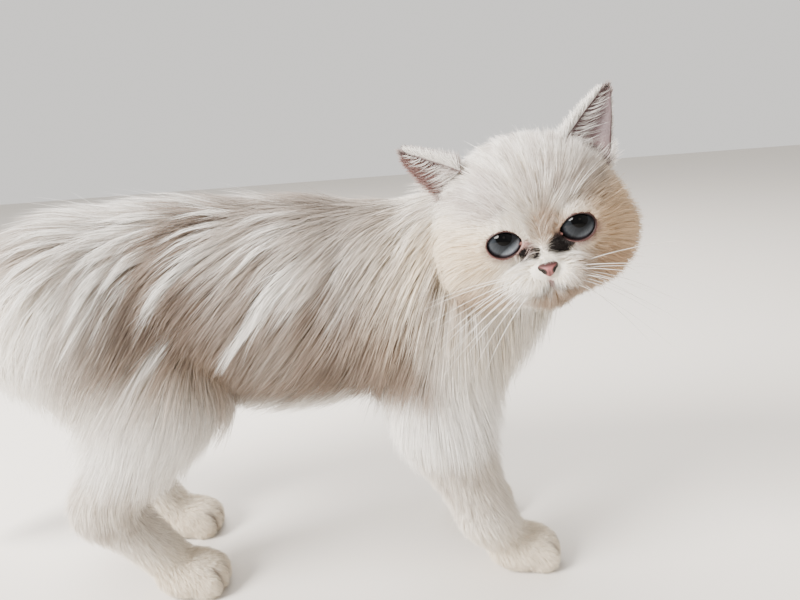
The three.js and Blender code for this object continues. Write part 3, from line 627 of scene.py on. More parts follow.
# Where the flank's taupe is deeper or paler, seen from the side: x and z, radii, how much
TAUPE_SPOTS = [
    ((-112, 226), (30, 24), 0.3),
    ((-30, 188), (12, 40), 0.3),
    ((-40, 229), (13, 11), -0.6),
    ((-74, 240), (16, 10), -0.35),
    ((-163, 170), (50, 29), -0.85),
]


def mark_body(coat, p, body):
    """Taupe flanks with white locks, a white belly, legs that turn cream to the paws, and painted shade
    between the toes, behind the right cheek and partly in the legs' grey streaks
    """
    x, z = p[:, 0], p[:, 2]
    flank = p[:, [0, 2]]
    above = step(226, 248, z)
    taupe = step(-200, -150, x + 50 * above) * step(32, 10, x) * step(128, 158, z) * body
    taupe *= mix(1, 0.78, above) * (0.9 + 0.2 * waves(p, 60, 6))
    taupe += 0.25 * taupe * step(190, 170, z)
    for centre, radii, more in TAUPE_SPOTS:
        taupe += more * taupe * spot(flank, centre, radii)
    coat.paint(taupe, TAUPE, 1, ASH, 1)
    deep = spot(flank, (-84, 208), (46, 24)) + spot(flank, (-10, 190), (26, 20))
    coat.tip = blend(coat.tip, mix(TAUPE, ASH, 0.35), deep * taupe * 0.75)
    coat.tip = blend(coat.tip, WHITE, step(172, 156, z) * step(-120, -100, x) * body * 0.7)
    tan = spot(flank, (-114, 184), (34, 15)) * body
    coat.paint(tan, TAN, 0.4, mix(TAN, ASH, 0.5), 0.3)
    white = np.maximum(streaky(p), step(166, 153, z))
    coat.paint(white * body, WHITE * 0.92, 1, WHITE, 1)

    legs = step(128, 100, z) * (x > HINDMOST_LEG) * body
    coat.root = blend(coat.root, mix(TAN, TAUPE, 0.4), legs * step(26, 56, z) * 0.45)
    coat.tip = blend(coat.tip, CREAM, legs * 0.4)
    # Grey streaks in the legs' tips above the paws: partly the fur's own grey, partly painted shade
    coat.tip = blend(coat.tip, ASH, legs * step(40, 80, z) * (0.2 + 0.2 * waves(p, 9, 3)))
    coat.paint(step(56, 16, z), HONEY, 0.45, mix(CREAM, HONEY, 0.15), 0.5)
    # Brown between the toes: painted shade in the gaps between them
    for leg in LEGS:
        toes = np.sort([toe.distance(p) for toe in PAWS[leg][1:]], axis=0)
        toe_gap_shade = step(2.4, 0.3, toes[1] - toes[0]) * step(5, 2, toes[0])
        coat.paint(toe_gap_shade, BROWN, 0.9, BROWN, 0.55)
    # Honey on the neck behind the right cheek: the ruff's own cream-yellow, darkened further as a painted
    # shadow of the head
    ruff_and_cheek_shadow = step(55, 12, length(to_head(p) - [-50, -62, -22])) * body
    coat.paint(ruff_and_cheek_shadow, HONEY * 0.75, 0.7, mix(HONEY, TAN, 0.3), 0.4)


def mark_face(coat, p, head):
    """Warm cheeks, a lilac crown, taupe over the eyes, dark stains by their inner corners, and painted shade
    on the cat's left side, round its left eye, under the cheeks and on the chin
    """
    q = to_head(p)
    cheek = head * step(14, 34, np.abs(q[:, 0])) * step(24, 0, q[:, 2])
    coat.paint(cheek, HONEY, 0.6, mix(CREAM, HONEY, 0.4), 0.7)
    # Tan on the cat's left side of the face, all but the top: mostly painted shade, with a little of the
    # fur's own warm tan
    shaded_left_side = head * step(12, 34, q[:, 0]) * step(30, 8, q[:, 2])
    coat.paint(shaded_left_side, TAN, 0.6, mix(CREAM, mix(HONEY, TAN, 0.65), 0.9), 0.9)
    # Darker tan low on the cat's left cheek: painted shade
    left_jowl_shade = spot(q, [26, -8, -27], [22, 30, 15])
    coat.paint(left_jowl_shade, TAN * 0.75, 0.8, TAN * 0.9, 0.6)
    crown = head * step(8, 20, q[:, 2]) * (0.35 + 0.5 * waves(p * [1, 1, 0.6], 8, 7))
    coat.paint(crown, LILAC, 0.8, ASH, 0.75)
    brow = spot(q, [28, -8, 17], [17, 26, 13]) + 0.6 * spot(q, [3, 0, 14], [10, 20, 12])
    coat.paint(brow * (0.6 + 0.4 * waves(p, 6, 4)), TAUPE, 0.85, mix(TAUPE, ASH, 0.5), 0.7)
    veil = spot(q, [-25, -8, 22], [18, 24, 14]) * (0.7 + 0.3 * waves(p, 7, 5))
    coat.paint(veil, LILAC * 0.85, 0.8, LILAC, 0.45)
    # Darker tan low on the cat's right cheek, over the neck: painted shadow under the cheek
    right_jaw_shadow = spot(q, [-34, -15, -31], [22, 28, 11])
    coat.paint(right_jaw_shadow, TAN * 0.8, 0.8, mix(TAN, ASH, 0.4), 0.6)
    bridge = spot(q, [3.5, 8, 4], [10, 13, 11]) * (0.75 + 0.35 * waves(p, 3, 8))
    coat.paint(bridge, TAN * 0.55, 0.9, TAN * 0.85, 0.8)
    # Tan chin, darkened further as painted shade under the muzzle
    chin = spot(q, [5, 2, -34], [20, 20, 8])
    coat.paint(chin, TAN * 0.6, 0.9, TAN * 0.65, 0.8)
    for eye in EYES.values():
        side = np.sign(eye[0])
        reach = mix(1.35, 1.65, step(2, -3, q[:, 2]))
        rim = step(reach, 1.08, from_opening(q - eye, side)) * head * (q[:, 1] > -4)
        rim *= mix(0.35, 0.8, step(3, -3, q[:, 2])) + 0.2 * (side > 0)
        coat.paint(rim, BROWN, 1, mix(BROWN, PINK, 0.35), 0.85)
    # Tan-brown skin round the cat's left eye, darkened further as painted shade
    shade = spot(q, [14, 8, 0], [12, 14, 8])
    coat.paint(shade, TAN * 0.7, 0.5, TAN * 0.8, 0.5)
    corners = spot(q, [-9, 6, -5], [5.5, 9, 4.5]) + spot(q, [9.5, 6, -4], [5.5, 9, 4])
    coat.paint(corners, mix(BROWN, PINK, 0.5), 0.7, mix(BROWN, PINK, 0.75), 0.55)
    groove = step(2.2, 0.8, from_lines(q, MOUTH_LINES[:1])) * head
    coat.paint(groove, PINK * 0.6, 1, PINK * 0.6, 0.6)
    mouth = step(2.6, 0.8, from_lines(q, MOUTH_LINES[1:])) * head
    stain = spot(q, [9, 9, -7], [7.2, 9, 3.8])
    stain += spot(q, [7.5, 8, -3.5], [4, 9, 3.5]) * 0.7
    stain += spot(q, [-7.4, 9, -7.5], [5.6, 9, 3.4]) * step(-0.7, 0, waves(p, 4.2, 9)) * 1.3
    coat.root = blend(coat.root, STAIN, np.maximum(stain * 1.4, mouth * 0.6))
    coat.tip = blend(coat.tip, STAIN, np.maximum(stain * 1.3, mouth * 0.4))


def markings(p):
    """The coat's colours at some places"""
    coat = Coat(len(p))
    head = step(16, 2, head_field(p))
    mark_body(coat, p, 1 - head)
    mark_face(coat, p, head)
    return coat


# The skin, in the colours of the coat over it
COARSE_GRID = 2.5
FINE_GRID = 1.25
SKIN_LINES = [
    grid_line(-392, 130, 12, 124, COARSE_GRID, FINE_GRID),
    grid_line(-148, 74, -112, -34, COARSE_GRID, FINE_GRID),
    grid_line(-3, 306, 188, 292, COARSE_GRID, FINE_GRID),
]
TOWARDS_TIP = 0.35
SKIN_SHADE = 0.88
FLESH = ["neck", "chest", "belly", "rump", "tail_base", "tail_middle", "tail_tip", "head"]
for leg in LEGS:
    FLESH += [leg, leg.replace("leg", "paw")]
skin_points, skin_faces = surface(skin_field, SKIN_LINES)
under = markings(skin_points)
skin_tint = mix(under.root, under.tip, TOWARDS_TIP) * SKIN_SHADE
make("skin", skin_points, skin_faces, SKIN_LOOK, FLESH, tint=skin_tint)

# The coat: guide paths run over the skin along the lie, and each tuft follows the nearest
# guide, drawn in to it towards the tip, so that the coat parts into locks
STATIONS = np.array([0, 0.14, 0.38, 0.68, 1.0])
RISES = np.array([0, 0.28, 0.6, 0.86, 1.0])
FALL_BACK = 0.3
DROOP = 0.35


def hair_length(depth):
    """How long the hair is where the coat is that deep"""
    return np.maximum(2.0, depth * (1.5 + 0.08 * depth))


def scattered(points, faces, weight):
    """Places spread over a mesh at random, so many to a square millimetre of each face"""
    corners = points[faces]
    area = length(np.cross(corners[:, 1] - corners[:, 0], corners[:, 2] - corners[:, 0])) / 2
    count = random.poisson(area * weight)
    face = np.repeat(np.arange(len(faces)), count)
    s, t = np.sqrt(random.random(len(face))), random.random(len(face))
    a, b, c = (corners[face, k] for k in range(3))
    return a + (b - a) * (s * (1 - t))[:, None] + (c - a) * (s * t)[:, None]


def hair_grows(p):
    """Leaves out the eyes, the nose, the line of the mouth and the soles"""
    q = to_head(p)
    keep = p[:, 2] > 1.2
    for eye in EYES.values():
        e = q - eye
        keep &= (from_opening(e, np.sign(eye[0]), 0.35) > 1) | (e[:, 1] < -3)
    keep &= length((q - NOSE_AT) / [8.2, 6.5, 4.8]) > 1
    return keep & ((from_lines(q, MOUTH_LINES) > 0.9) | (q[:, 2] < -40))


def guide_paths(roots, depth, reach, sway, lift):
    """For each root, a path that lies along the skin and rises to the coat's depth"""
    place = roots.copy()
    paths = []
    for i, station in enumerate(STATIONS):
        out = slope(skin_field, place)
        lie = coat_at(place)[0] + [0, 0, -DROOP * station]
        flat = unit(lie - out * dot(lie, out)[:, None])
        along = unit(flat + np.cross(out, flat) * (sway * (station - 0.25))[:, None])
        paths.append(place + out * (depth * RISES[i] + lift * station)[:, None])
        if i + 1 < len(STATIONS):
            place = place + along * (reach * (STATIONS[i + 1] - station))[:, None]
            off = skin_field(place)
            place = place - slope(skin_field, place) * np.where(off < 0, off, FALL_BACK * off)[:, None]
    return np.stack(paths, 1)


class Tufts:
    """Flat tapered tufts, gathered for one piece: their paths, widths and colours"""

    def __init__(self, paths, width, across, root, tip, chart):
        self.paths = paths
        self.width = width
        self.across = across
        self.root = root
        self.tip = tip
        self.chart = chart

    def part(self, chosen):
        return Tufts(*(value[chosen] for value in vars(self).values()))


TUFT_WIDTHS = np.array([0.7, 1, 0.85, 0.5, 0])
CHART_PATCH = 0.003


def tuft_mesh(tufts):
    """Points, faces, chart places and tints of some tufts"""
    count, stations = tufts.paths.shape[:2]
    share = np.linspace(0, 1, stations)
    widths = np.interp(share, np.linspace(0, 1, len(TUFT_WIDTHS)), TUFT_WIDTHS)
    ahead = unit(np.gradient(tufts.paths, axis=1))
    across = tufts.across[:, None, :]
    side = unit(across - ahead * dot(across, ahead)[..., None])
    half = side * (tufts.width[:, None] * widths / 2)[..., None]
    pairs = np.stack([tufts.paths - half, tufts.paths + half], 2)[:, :-1].reshape(count, -1, 3)
    points = np.concatenate([pairs, tufts.paths[:, -1:]], 1)
    last = 2 * (stations - 1)
    faces = []
    for k in range(0, last - 2, 2):
        faces += [[k, k + 1, k + 3], [k, k + 3, k + 2]]
    faces.append([last - 2, last - 1, last])
    faces = (np.arange(count) * (last + 1))[:, None, None] + np.array(faces)
    level = np.append(np.repeat(share[:-1], 2), 1)
    edge = np.append(np.tile([-0.5, 0.5], stations - 1), 0)
    uv = tufts.chart[:, None, :] + np.stack([edge, level - 0.5], 1) * CHART_PATCH
    tint = mix(tufts.root[:, None, :], tufts.tip[:, None, :], (level**0.9)[None, :, None])
    return points.reshape(-1, 3), faces.reshape(-1, 3), uv.reshape(-1, 2), tint.reshape(-1, 3)


def along_line(p, line):
    """How far along a bent line each point's nearest place on it is, from 0 to 1"""
    spans = length(np.diff(line, axis=0))
    starts = np.concatenate([[0], np.cumsum(spans)])
    best = np.full(len(p), 1e9)
    share = np.zeros(len(p))
    for i, span in enumerate(spans):
        way = (line[i + 1] - line[i]) / span
        t = np.clip((p - line[i]) @ way, 0, span)
        off = length(p - line[i] - t[:, None] * way)
        share = np.where(off < best, (starts[i] + t) / starts[-1], share)
        best = np.minimum(off, best)
    return share


def charted(p, group):
    """Each root's place on its part of the skin, unrolled: along the part, and round it"""
    if group.startswith("head"):
        q = to_head(p) - [0, -32, 0]
        along = np.arccos(np.clip(unit(q)[:, 1], -1, 1)) / math.pi
        turn = np.arctan2(q[:, 0], q[:, 2])
    elif group == "tail":
        along = along_line(p, TAIL_LINE)
        marks = np.linspace(0, 1, len(TAIL_LINE))
        x, y, z = (np.interp(along, marks, TAIL_LINE[:, k]) for k in range(3))
        turn = np.arctan2(p[:, 1] - y, p[:, 0] - x + p[:, 2] - z)
    elif group in LEGS:
        joints = np.array([*LEGS[group][1], LEGS[group][2]], float)
        middle = np.interp(p[:, 2], joints[::-1, 2], joints[::-1, 0])
        along = p[:, 2] / 230
        turn = np.arctan2(p[:, 1] - joints[2, 1], p[:, 0] - middle)
    else:
        along = (p[:, 0] + 280) / 410
        turn = np.arctan2(p[:, 1], p[:, 2] - 200)
    spread = (along - along.min()) / max(np.ptp(along), 1e-6)
    return np.stack([turn / math.tau + 0.5, spread], 1) * 0.98 + 0.01


HAUNCH_END = -80


def grouped(p):
    """Which part of the body each root is on"""
    near = {
        "head": head_field(p),
        "neck": joined(NECK, NECK_BLEND)(p) + 2,
        "trunk": joined(TRUNK, TRUNK_BLEND)(p),
        "tail": joined(TAIL, TAIL_BLEND)(p),
    }
    for leg in LEGS:
        near[leg] = joined([*LIMBS[leg], *PAWS[leg]], LEG_BLEND)(p)
    group = np.array(list(near))[np.argmin(list(near.values()), axis=0)]
    trunk = np.where(p[:, 0] < HAUNCH_END, "haunch", "flank")
    trunk = np.char.add(trunk, np.where(p[:, 1] < 0, "_right", "_left"))
    head = np.where(to_head(p)[:, 0] < 0, "head_right", "head_left")
    return np.where(group == "trunk", trunk, np.where(group == "head", head, group))


def combed(guides):
    """The guides' paths, and which of them run in the flank's white locks"""
    count = len(guides)
    depth = coat_at(guides)[1]
    legs = step(130, 98, guides[:, 2]) * (guides[:, 0] > HINDMOST_LEG)
    streak = streaky(guides) > 0.4
    up = slope(skin_field, guides)[:, 2] * step(0, 12, head_field(guides)) * (1 - legs)
    reach = hair_length(depth) * mix(1, 0.8, legs)
    reach *= random.uniform(0.85, 1.1, count) * np.where(streak, 1.15, 1)
    sway = 0.16 * waves(guides, 45, 31) + random.normal(0, 0.1, count)
    lift = random.normal(0, 0.4, count) * depth / 15 + np.where(streak, 1.8, 0)
    lift += 8 * step(0.3, 0.9, -up) * random.uniform(0.2, 1.2, count)
    rise = depth * random.uniform(0.86, 1.02, count) * mix(1, 0.9, legs)
    flat = mix(0.25, 0.95, step(-225, -160, guides[:, 0]) * step(40, -30, guides[:, 0]))
    rise *= mix(1, flat, step(0.3, 0.9, up)) * mix(1, 1.3, step(0.5, 0.9, -up))
    return guide_paths(guides, rise, reach, sway, lift), streak


def nearest_guides(guides, roots):
    """For each root, its three nearest guides, the nearest first, and how much each counts"""
    tree = KDTree(len(guides))
    for i, place in enumerate(guides):
        tree.insert(place, i)
    tree.balance()
    found = [tree.find_n(place, 3) for place in roots.tolist()]
    others = np.array([[at for _, at, _ in near] for near in found])
    shares = 1 / (np.array([[far for _, _, far in near] for near in found]) + 0.4)
    return others, shares


ASTRAY_SHARE = 0.07


def tuft_paths(guides, roots, depth):
    """Each tuft's path beside its nearest guide, and which tufts are in the white locks"""
    paths, streak = combed(guides)
    others, shares = nearest_guides(guides, roots)
    nearest = others[:, 0]
    locked = streak[nearest]
    shares[locked] *= [1, 0, 0]
    shares /= shares.sum(1, keepdims=True)
    courses = paths - guides[:, None, :]

    count = len(roots)
    size = random.uniform(0.7, 1.1, count)
    own = guides[nearest][:, None, :] + np.einsum("ij,ijkl->ikl", shares, courses[others])
    t = np.clip(STATIONS[None, :] * size[:, None], 0, 1.0)
    index = np.searchsorted(STATIONS, t.ravel(), side="right").reshape(t.shape) - 1
    index = np.clip(index, 0, len(STATIONS) - 2)
    part = (t - STATIONS[index]) / (STATIONS[index + 1] - STATIONS[index])
    row = np.arange(count)[:, None]
    path = mix(own[row, index], own[row, index + 1], part[..., None])

    close = random.uniform(0.55, 0.92, count)
    loose = random.uniform(0.05, 0.6, count)
    stay = 1 - np.where(locked, close, loose)[:, None] * STATIONS[None, :] ** 1.3
    path = path + (roots - guides[nearest])[:, None, :] * stay[..., None]
    astray = 0.05 * random.random(count) ** 2
    astray += mix(0.26, 0.09, step(5, 12, depth)) * (random.random(count) < ASTRAY_SHARE)
    off = np.clip(random.normal(size=(count, 3)), -1.5, 1.5) * (hair_length(depth) * astray)[:, None]
    path += off[:, None, :] * (STATIONS**1.6)[None, :, None]
    return path, locked


# Tufts and guides to a square millimetre where the coat is short
TUFT_CROWD = 10
GUIDE_CROWD = 0.8
TUFT_SHARE = 1.0
SHORT_STATIONS = [0, 1, 2, 4]
PIECE_TRIANGLES = 190000
FLOOR_GAP = 0.3


def grow_coat():
    middles = skin_points[skin_faces].mean(1)
    depth = coat_at(middles)[1]
    grows = hair_grows(middles)
    crowd = TUFT_CROWD / (1 + (depth / 1.9) ** 1.25)
    guides = scattered(skin_points, skin_faces, grows * GUIDE_CROWD / (0.9 + 0.24 * depth) ** 2)
    roots = scattered(skin_points, skin_faces, grows * crowd * TUFT_SHARE)
    roots = roots[hair_grows(roots)]
    count = len(roots)
    depth = coat_at(roots)[1]
    path, locked = tuft_paths(guides, roots, depth)

    first = unit(path[:, 1] - path[:, 0])
    across = unit(np.cross(slope(skin_field, roots), first))
    roll = random.normal(0, 0.4, count)
    across = across * np.cos(roll)[:, None] + np.cross(first, across) * np.sin(roll)[:, None]
    width = mix(0.22, 0.5, step(1, 15, depth)) * random.uniform(0.7, 1.25, count)
    group = grouped(roots)
    face = np.char.startswith(group, "head")
    coat = markings(mix(roots, path[:, -1], 0.45 * face[:, None]))
    bright = locked * 0.85 * mix(0.3, 1, step(186, 214, roots[:, 2]))
    coat.paint(bright, WHITE * 0.92, 1, WHITE, 1)
    shade = random.uniform(0.8, 1.1, count)[:, None]
    root, tip = coat.root * shade, coat.tip * shade
    for name in np.unique(group):
        own = group == name
        chart = charted(roots[own], name)
        tufts = Tufts(path[own], width[own], across[own], root[own], tip[own], chart)
        if name.startswith("head") or name in LEGS:
            tufts.paths = tufts.paths[:, SHORT_STATIONS]
        per_tuft = 2 * (tufts.paths.shape[1] - 1) - 1
        pieces = math.ceil(own.sum() * per_tuft / PIECE_TRIANGLES)
        for k in range(pieces):
            points, faces, uv, tint = tuft_mesh(tufts.part(np.arange(own.sum()) % pieces == k))
            points[:, 2] = np.maximum(points[:, 2], FLOOR_GAP)
            make(f"coat_{name}_{k + 1}", points, faces, COAT_LOOK, uv=uv, tint=tint)


def turned_rings(rows, sides):
    """Faces of rings of points, one ring to a row"""
    faces = []
    for i in range(rows - 1):
        for j in range(sides):
            a, b = i * sides + j, i * sides + (j + 1) % sides
            c, d = b + sides, a + sides
            faces += [[a, b, c], [a, c, d]]
    return faces


def ball(polar, sides):
    """Rings of points on a ball of radius 1, at given angles from its +Z pole"""
    turn = math.tau * np.arange(sides) / sides
    across = np.sin(polar)[:, None]
    parts = [across * np.cos(turn), across * np.sin(turn), np.cos(polar)[:, None]]
    return np.stack(np.broadcast_arrays(*parts), -1)


# Eyes: an eyeball with a raised cornea, looking up, and a ring of lid round its opening
GAZE_UP = math.radians(20)
GAZE_LEFT = math.radians(4.5)
GAZE = unit([math.sin(GAZE_LEFT), math.cos(GAZE_UP), math.sin(GAZE_UP)])
CORNEA_RISE = 0.75
CORNEA_SPREAD = 0.42
EYE_RINGS = 26
EYE_SIDES = 40
BEAD_RINGS = 9
BEAD_SIDES = 14

# Pupil, iris, its dark ring and the white, by the distance from the gaze
EYE_STOPS = [
    (0.0, (0.0006, 0.0006, 0.0008)),
    (0.375, (0.0006, 0.0006, 0.0008)),
    (0.4, (0.018, 0.021, 0.026)),
    (0.55, (0.031, 0.036, 0.043)),
    (0.74, (0.053, 0.061, 0.071)),
    (0.82, (0.02, 0.02, 0.024)),
    (0.9, (0.006, 0.005, 0.005)),
    (1.0, (0.08, 0.05, 0.045)),
]

# How light the upper and the lower part of each iris is: a painted shadow of the lid above, painted light low
# down, and the cat's left eye darker as painted shade
EYE_LIGHT = {"eye_right": (0.6, 5.8), "eye_left": (0.4, 1.6)}

# Lids, ring by ring from the opening out: margin, height over the eyeball, and the colours of
# the upper and the lower lid
RIM_DARK = srgb(30, 20, 20)
LID_SKIN = srgb(84, 58, 54)
LID_PINK = srgb(90, 62, 60)
LID_PROFILE = [
    (-0.7, -0.3, RIM_DARK, RIM_DARK),
    (-0.35, 0.25, RIM_DARK, RIM_DARK),
    (-0.1, 0.8, RIM_DARK, RIM_DARK),
    (0.15, 1.25, RIM_DARK, mix(RIM_DARK, LID_PINK, 0.4)),
    (0.5, 1.42, mix(RIM_DARK, LID_SKIN, 0.5), LID_PINK),
    (1.2, 1.36, LID_SKIN, LID_PINK),
    (2.0, 0.7, LID_SKIN, LID_PINK),
]


def eye_look(name, dim, bright):
    """A dark pupil in a blue-grey iris that is brighter low down, where the light falls"""
    material, tree, shader = nodes_of(name)
    local = node(tree, "Attribute")
    local.attribute_name = "looking"
    parts = node(tree, "SeparateXYZ", {"Vector": local.outputs["Vector"]}).outputs
    flat = node(tree, "CombineXYZ", {"X": parts["X"], "Y": parts["Y"]}).outputs["Vector"]
    radius = node(tree, "VectorMath", {0: flat}, "LENGTH").outputs["Value"]
    ray = node(tree, "VectorMath", {0: flat}, "NORMALIZE").outputs["Vector"]
    fibres = node(tree, "TexNoise", {"Scale": 11, "Detail": 4, "Vector": ray}).outputs["Fac"]
    ramp = node(tree, "ValToRGB", {"Fac": radius})
    stops = ramp.color_ramp.elements
    stops.remove(stops[0])
    for i, (place, colour) in enumerate(EYE_STOPS):
        stop = stops.new(place) if i else stops[0]
        stop.position = place
        stop.color = (*colour, 1)
    iris = scaled(tree, ramp.outputs["Color"], ranged(tree, fibres, (0, 1), (0.55, 1.35)))
    low = node(tree, "VectorMath", {0: flat, 1: (0.5, -0.86, 0)}, "DOT_PRODUCT").outputs["Value"]
    lit = scaled(tree, iris, ranged(tree, low, (0.44, 0.76), (dim, bright)))
    tree.links.new(lit, shader.inputs["Base Color"])
    shader.inputs["Roughness"].default_value = 0.05
    shader.inputs["Specular IOR Level"].default_value = 0.1
    return material


def opening_edge(turn, side, margin):
    """Places on the edge of an eye's opening, seen from the front"""
    inner = np.cos(turn) * -side > 0
    reach = EYE_OPENING["wide"] + np.where(inner, EYE_OPENING["corner"], 0) + margin
    tall = np.where(np.sin(turn) > 0, EYE_OPENING["up"], EYE_OPENING["down"]) + margin
    bent = np.where(inner, np.abs(np.cos(turn)), 0) ** 2
    z = np.sin(turn) * tall / (1 + EYE_OPENING["bend"] * bent) - EYE_OPENING["slant"] * bent
    return np.cos(turn) * reach, z


def make_eyes():
    polar = math.pi * np.linspace(0, 1, EYE_RINGS) ** 1.15
    turn = math.tau * np.arange(EYE_SIDES) / EYE_SIDES
    looking = ball(polar, EYE_SIDES)
    right = unit(np.cross(GAZE, [0, 0, 1]))
    outward = looking @ np.array([right, np.cross(right, GAZE), GAZE])
    radius = EYE_RADIUS + CORNEA_RISE * np.exp(-((polar / CORNEA_SPREAD) ** 2))
    eyeball = (outward * radius[:, None, None]).reshape(-1, 3)
    looking = np.where(looking[..., 2:] > -0.2, looking, [1, 0, -1]).reshape(-1, 3)
    faces = turned_rings(EYE_RINGS, EYE_SIDES)
    lower = step(0.2, -0.5, np.sin(turn))[:, None]
    for name, at in EYES.items():
        short = name.replace("eye_", "")
        look = eye_look(name, *EYE_LIGHT[name])
        make(f"eyeball_{short}", from_head(eyeball + at), faces, look, [name], slot="eye", looking=looking)
        side = np.sign(at[0])
        rings, tints = [], []
        for margin, height, above, below in LID_PROFILE:
            x, z = opening_edge(turn, side, margin)
            y = np.sqrt((EYE_RADIUS + height) ** 2 - x**2 - z**2)
            rings.append(np.stack([x, y, z], 1) + at)
            tints.append(mix(above, below, lower))
        points = from_head(np.concatenate(rings))
        lid_faces = turned_rings(len(rings), EYE_SIDES)
        make(f"lid_{short}", points, lid_faces, BARE_LOOK, slot="eye", tint=np.concatenate(tints))
        corner = at + [-side * 8.5, 5.1, -2.2]
        make_bead(f"tear_duct_{short}", corner, [1.4, 1.3, 0.9], PINK * 0.7)


def make_bead(name, at, radii, colour):
    polar = math.pi * np.linspace(0, 1, BEAD_RINGS)
    bead = ball(polar, BEAD_SIDES)[..., [0, 2, 1]].reshape(-1, 3) * radii
    tint = np.tile(colour, (len(bead), 1))
    faces = turned_rings(BEAD_RINGS, BEAD_SIDES)
    make(name, from_head(bead + at), faces, BARE_LOOK, slot="eye", tint=tint)


# Nose: a rounded triangle with two comma-shaped nostrils and a groove down its middle
NOSE_PINK = srgb(136, 84, 84)
NOSE_EDGE = srgb(62, 40, 40)
NOSTRIL_SHADE = srgb(22, 13, 13)
NOSE_GRID = 0.36


def nose_field(q):
    d = q - NOSE_AT
    wide = 6.7 * (0.66 + 0.36 * np.clip(d[:, 2] / 3.4, -1, 1))
    scale = np.stack([wide, np.full(len(d), 5.1), np.full(len(d), 3.6)], 1)
    pad = (length(d / scale) - 1) * 3.2
    for side in (-1, 1):
        hole = oval(NOSE_AT + [side * 3.7, 4.0, -0.3], [2.0, 3.0, 1.4]).distance(q)
        slit = limb(NOSE_AT + [side * 4.6, 3.4, 0.1], NOSE_AT + [side * 6.6, 1.8, 1.9], 1.2, 0.8).distance(q)
        pad = smooth_max(pad, -smooth_min(hole, slit, 0.6), 0.7)
    groove = limb(NOSE_AT + [0, 5.5, 0.5], NOSE_AT + [0, 4.3, -3.6], 0.35, 0.55).distance(q)
    return smooth_max(pad, -groove, 0.6)


def make_nose():
    lines = [np.arange(a - 7, a + 7, NOSE_GRID) for a in NOSE_AT]
    q, faces = surface(nose_field, lines, settle=1)
    d = q - NOSE_AT
    inside = np.full(len(q), 9.0)
    for side in (-1, 1):
        hole = oval(NOSE_AT + [side * 3.7, 3.2, -0.3], [2.3, 3.6, 1.7]).distance(q)
        slit = limb(NOSE_AT + [side * 4.6, 3.0, 0.1], NOSE_AT + [side * 6.6, 1.4, 1.9], 1.6, 1.4).distance(q)
        inside = np.minimum(inside, np.minimum(hole, slit))
    edge = np.maximum(step(1.2, 2.8, d[:, 2]), step(3.0, 5.0, np.abs(d[:, 0])) * 0.8)
    tint = blend(np.tile(NOSE_PINK, (len(q), 1)), NOSE_EDGE, edge)
    # Darker down the lower middle groove: painted shade in the groove
    tint = blend(tint, NOSE_PINK * 0.6, step(0.9, 0.2, np.abs(d[:, 0])) * step(0.5, -0.5, d[:, 2]))
    # Near black in the nostrils: painted shade in their holes
    tint = blend(tint, NOSTRIL_SHADE, step(0.8, -0.1, inside))
    make("nose_pad", from_head(q), faces, BARE_LOOK, ["nose"], slot="nose", tint=tint)


# Ears: thin cups with fur on their backs, fluff along their edges, and long pale hair inside
EARS = {
    "ear_left": {"root": [32.4, -38.4, 25.3], "tip": [53.3, -43, 58.6], "opening": [0.1, 1, 0]},
    "ear_right": {"root": [-34.3, -39.2, 30.8], "tip": [-61, -45, 54], "opening": [-0.5, 0.7, -0.55]},
}
EAR_WIDTH = 28
EAR_DEPTH = 9
EAR_THICK = 2.2
EAR_TIP_THICK = 0.7
EAR_SINK = 40
EAR_RINGS = 22
EAR_POINTS = 21
EAR_INSIDE = srgb(98, 82, 84)
EAR_DEEP = srgb(120, 92, 90)
EAR_RIM = srgb(72, 58, 58)
STRAND_STATIONS = 4


def ear_axes(ear):
    root, tip = np.array(ear["root"]), np.array(ear["tip"])
    axis = unit(tip - root)
    opening = np.array(ear["opening"])
    out = unit(opening - axis * (opening @ axis))
    return root, tip, axis, out, np.cross(axis, out)


def ear_place(ear, t, u, back=0.0):
    """A place on an ear: t from root to tip, u from edge to edge, and how far behind the cup"""
    root, tip, _, out, across = ear_axes(ear)
    t, u = np.broadcast_arrays(np.asarray(t, float), np.asarray(u, float))
    half = EAR_WIDTH / 2 * (1 - t) ** 0.75 + 0.7
    bow = EAR_DEPTH * (1 - t) ** 0.6 + 0.2
    middle = mix(root, tip, t[..., None])
    return middle + across * (u * half)[..., None] + out * (bow * (u * u - 0.5) - back)[..., None]


def make_ears():
    t = np.linspace(-0.25, 1, EAR_RINGS)[:, None]
    u = np.linspace(-1, 1, EAR_POINTS)[None, :]
    t_in = np.clip(t, 0, 1)
    wall = mix(EAR_THICK, EAR_TIP_THICK, t_in)
    faces = turned_rings(EAR_RINGS, 2 * EAR_POINTS)
    from_edge = np.broadcast_to(np.abs(np.concatenate([u, u[:, ::-1]], 1)), (EAR_RINGS, 2 * EAR_POINTS))
    inner = np.tile(np.repeat([1.0, 0.0], EAR_POINTS), EAR_RINGS)
    along = np.repeat(t_in, 2 * EAR_POINTS)
    rim = step(0.72, 0.97, from_edge).ravel()
    tint = blend(np.tile(CREAM * 0.8, (len(inner), 1)), EAR_INSIDE, inner)
    tint = blend(tint, EAR_DEEP, inner * step(0.5, 0.05, along))
    tint = blend(tint, EAR_RIM, np.maximum(rim * 0.8, step(0.78, 1, along) * 0.75))
    for name, ear in EARS.items():
        cup = ear_place(ear, t_in, u)
        shell = ear_place(ear, t_in, u[:, ::-1] * 0.985, wall)
        sink = ear_axes(ear)[2] * np.minimum(t, 0)[..., None] * EAR_SINK
        points = (np.concatenate([cup, shell], 1) + sink).reshape(-1, 3)
        make(f"{name}_cup", from_head(points), faces, BARE_LOOK, [name], slot="ear", tint=tint)
        ear_hair(name, ear)


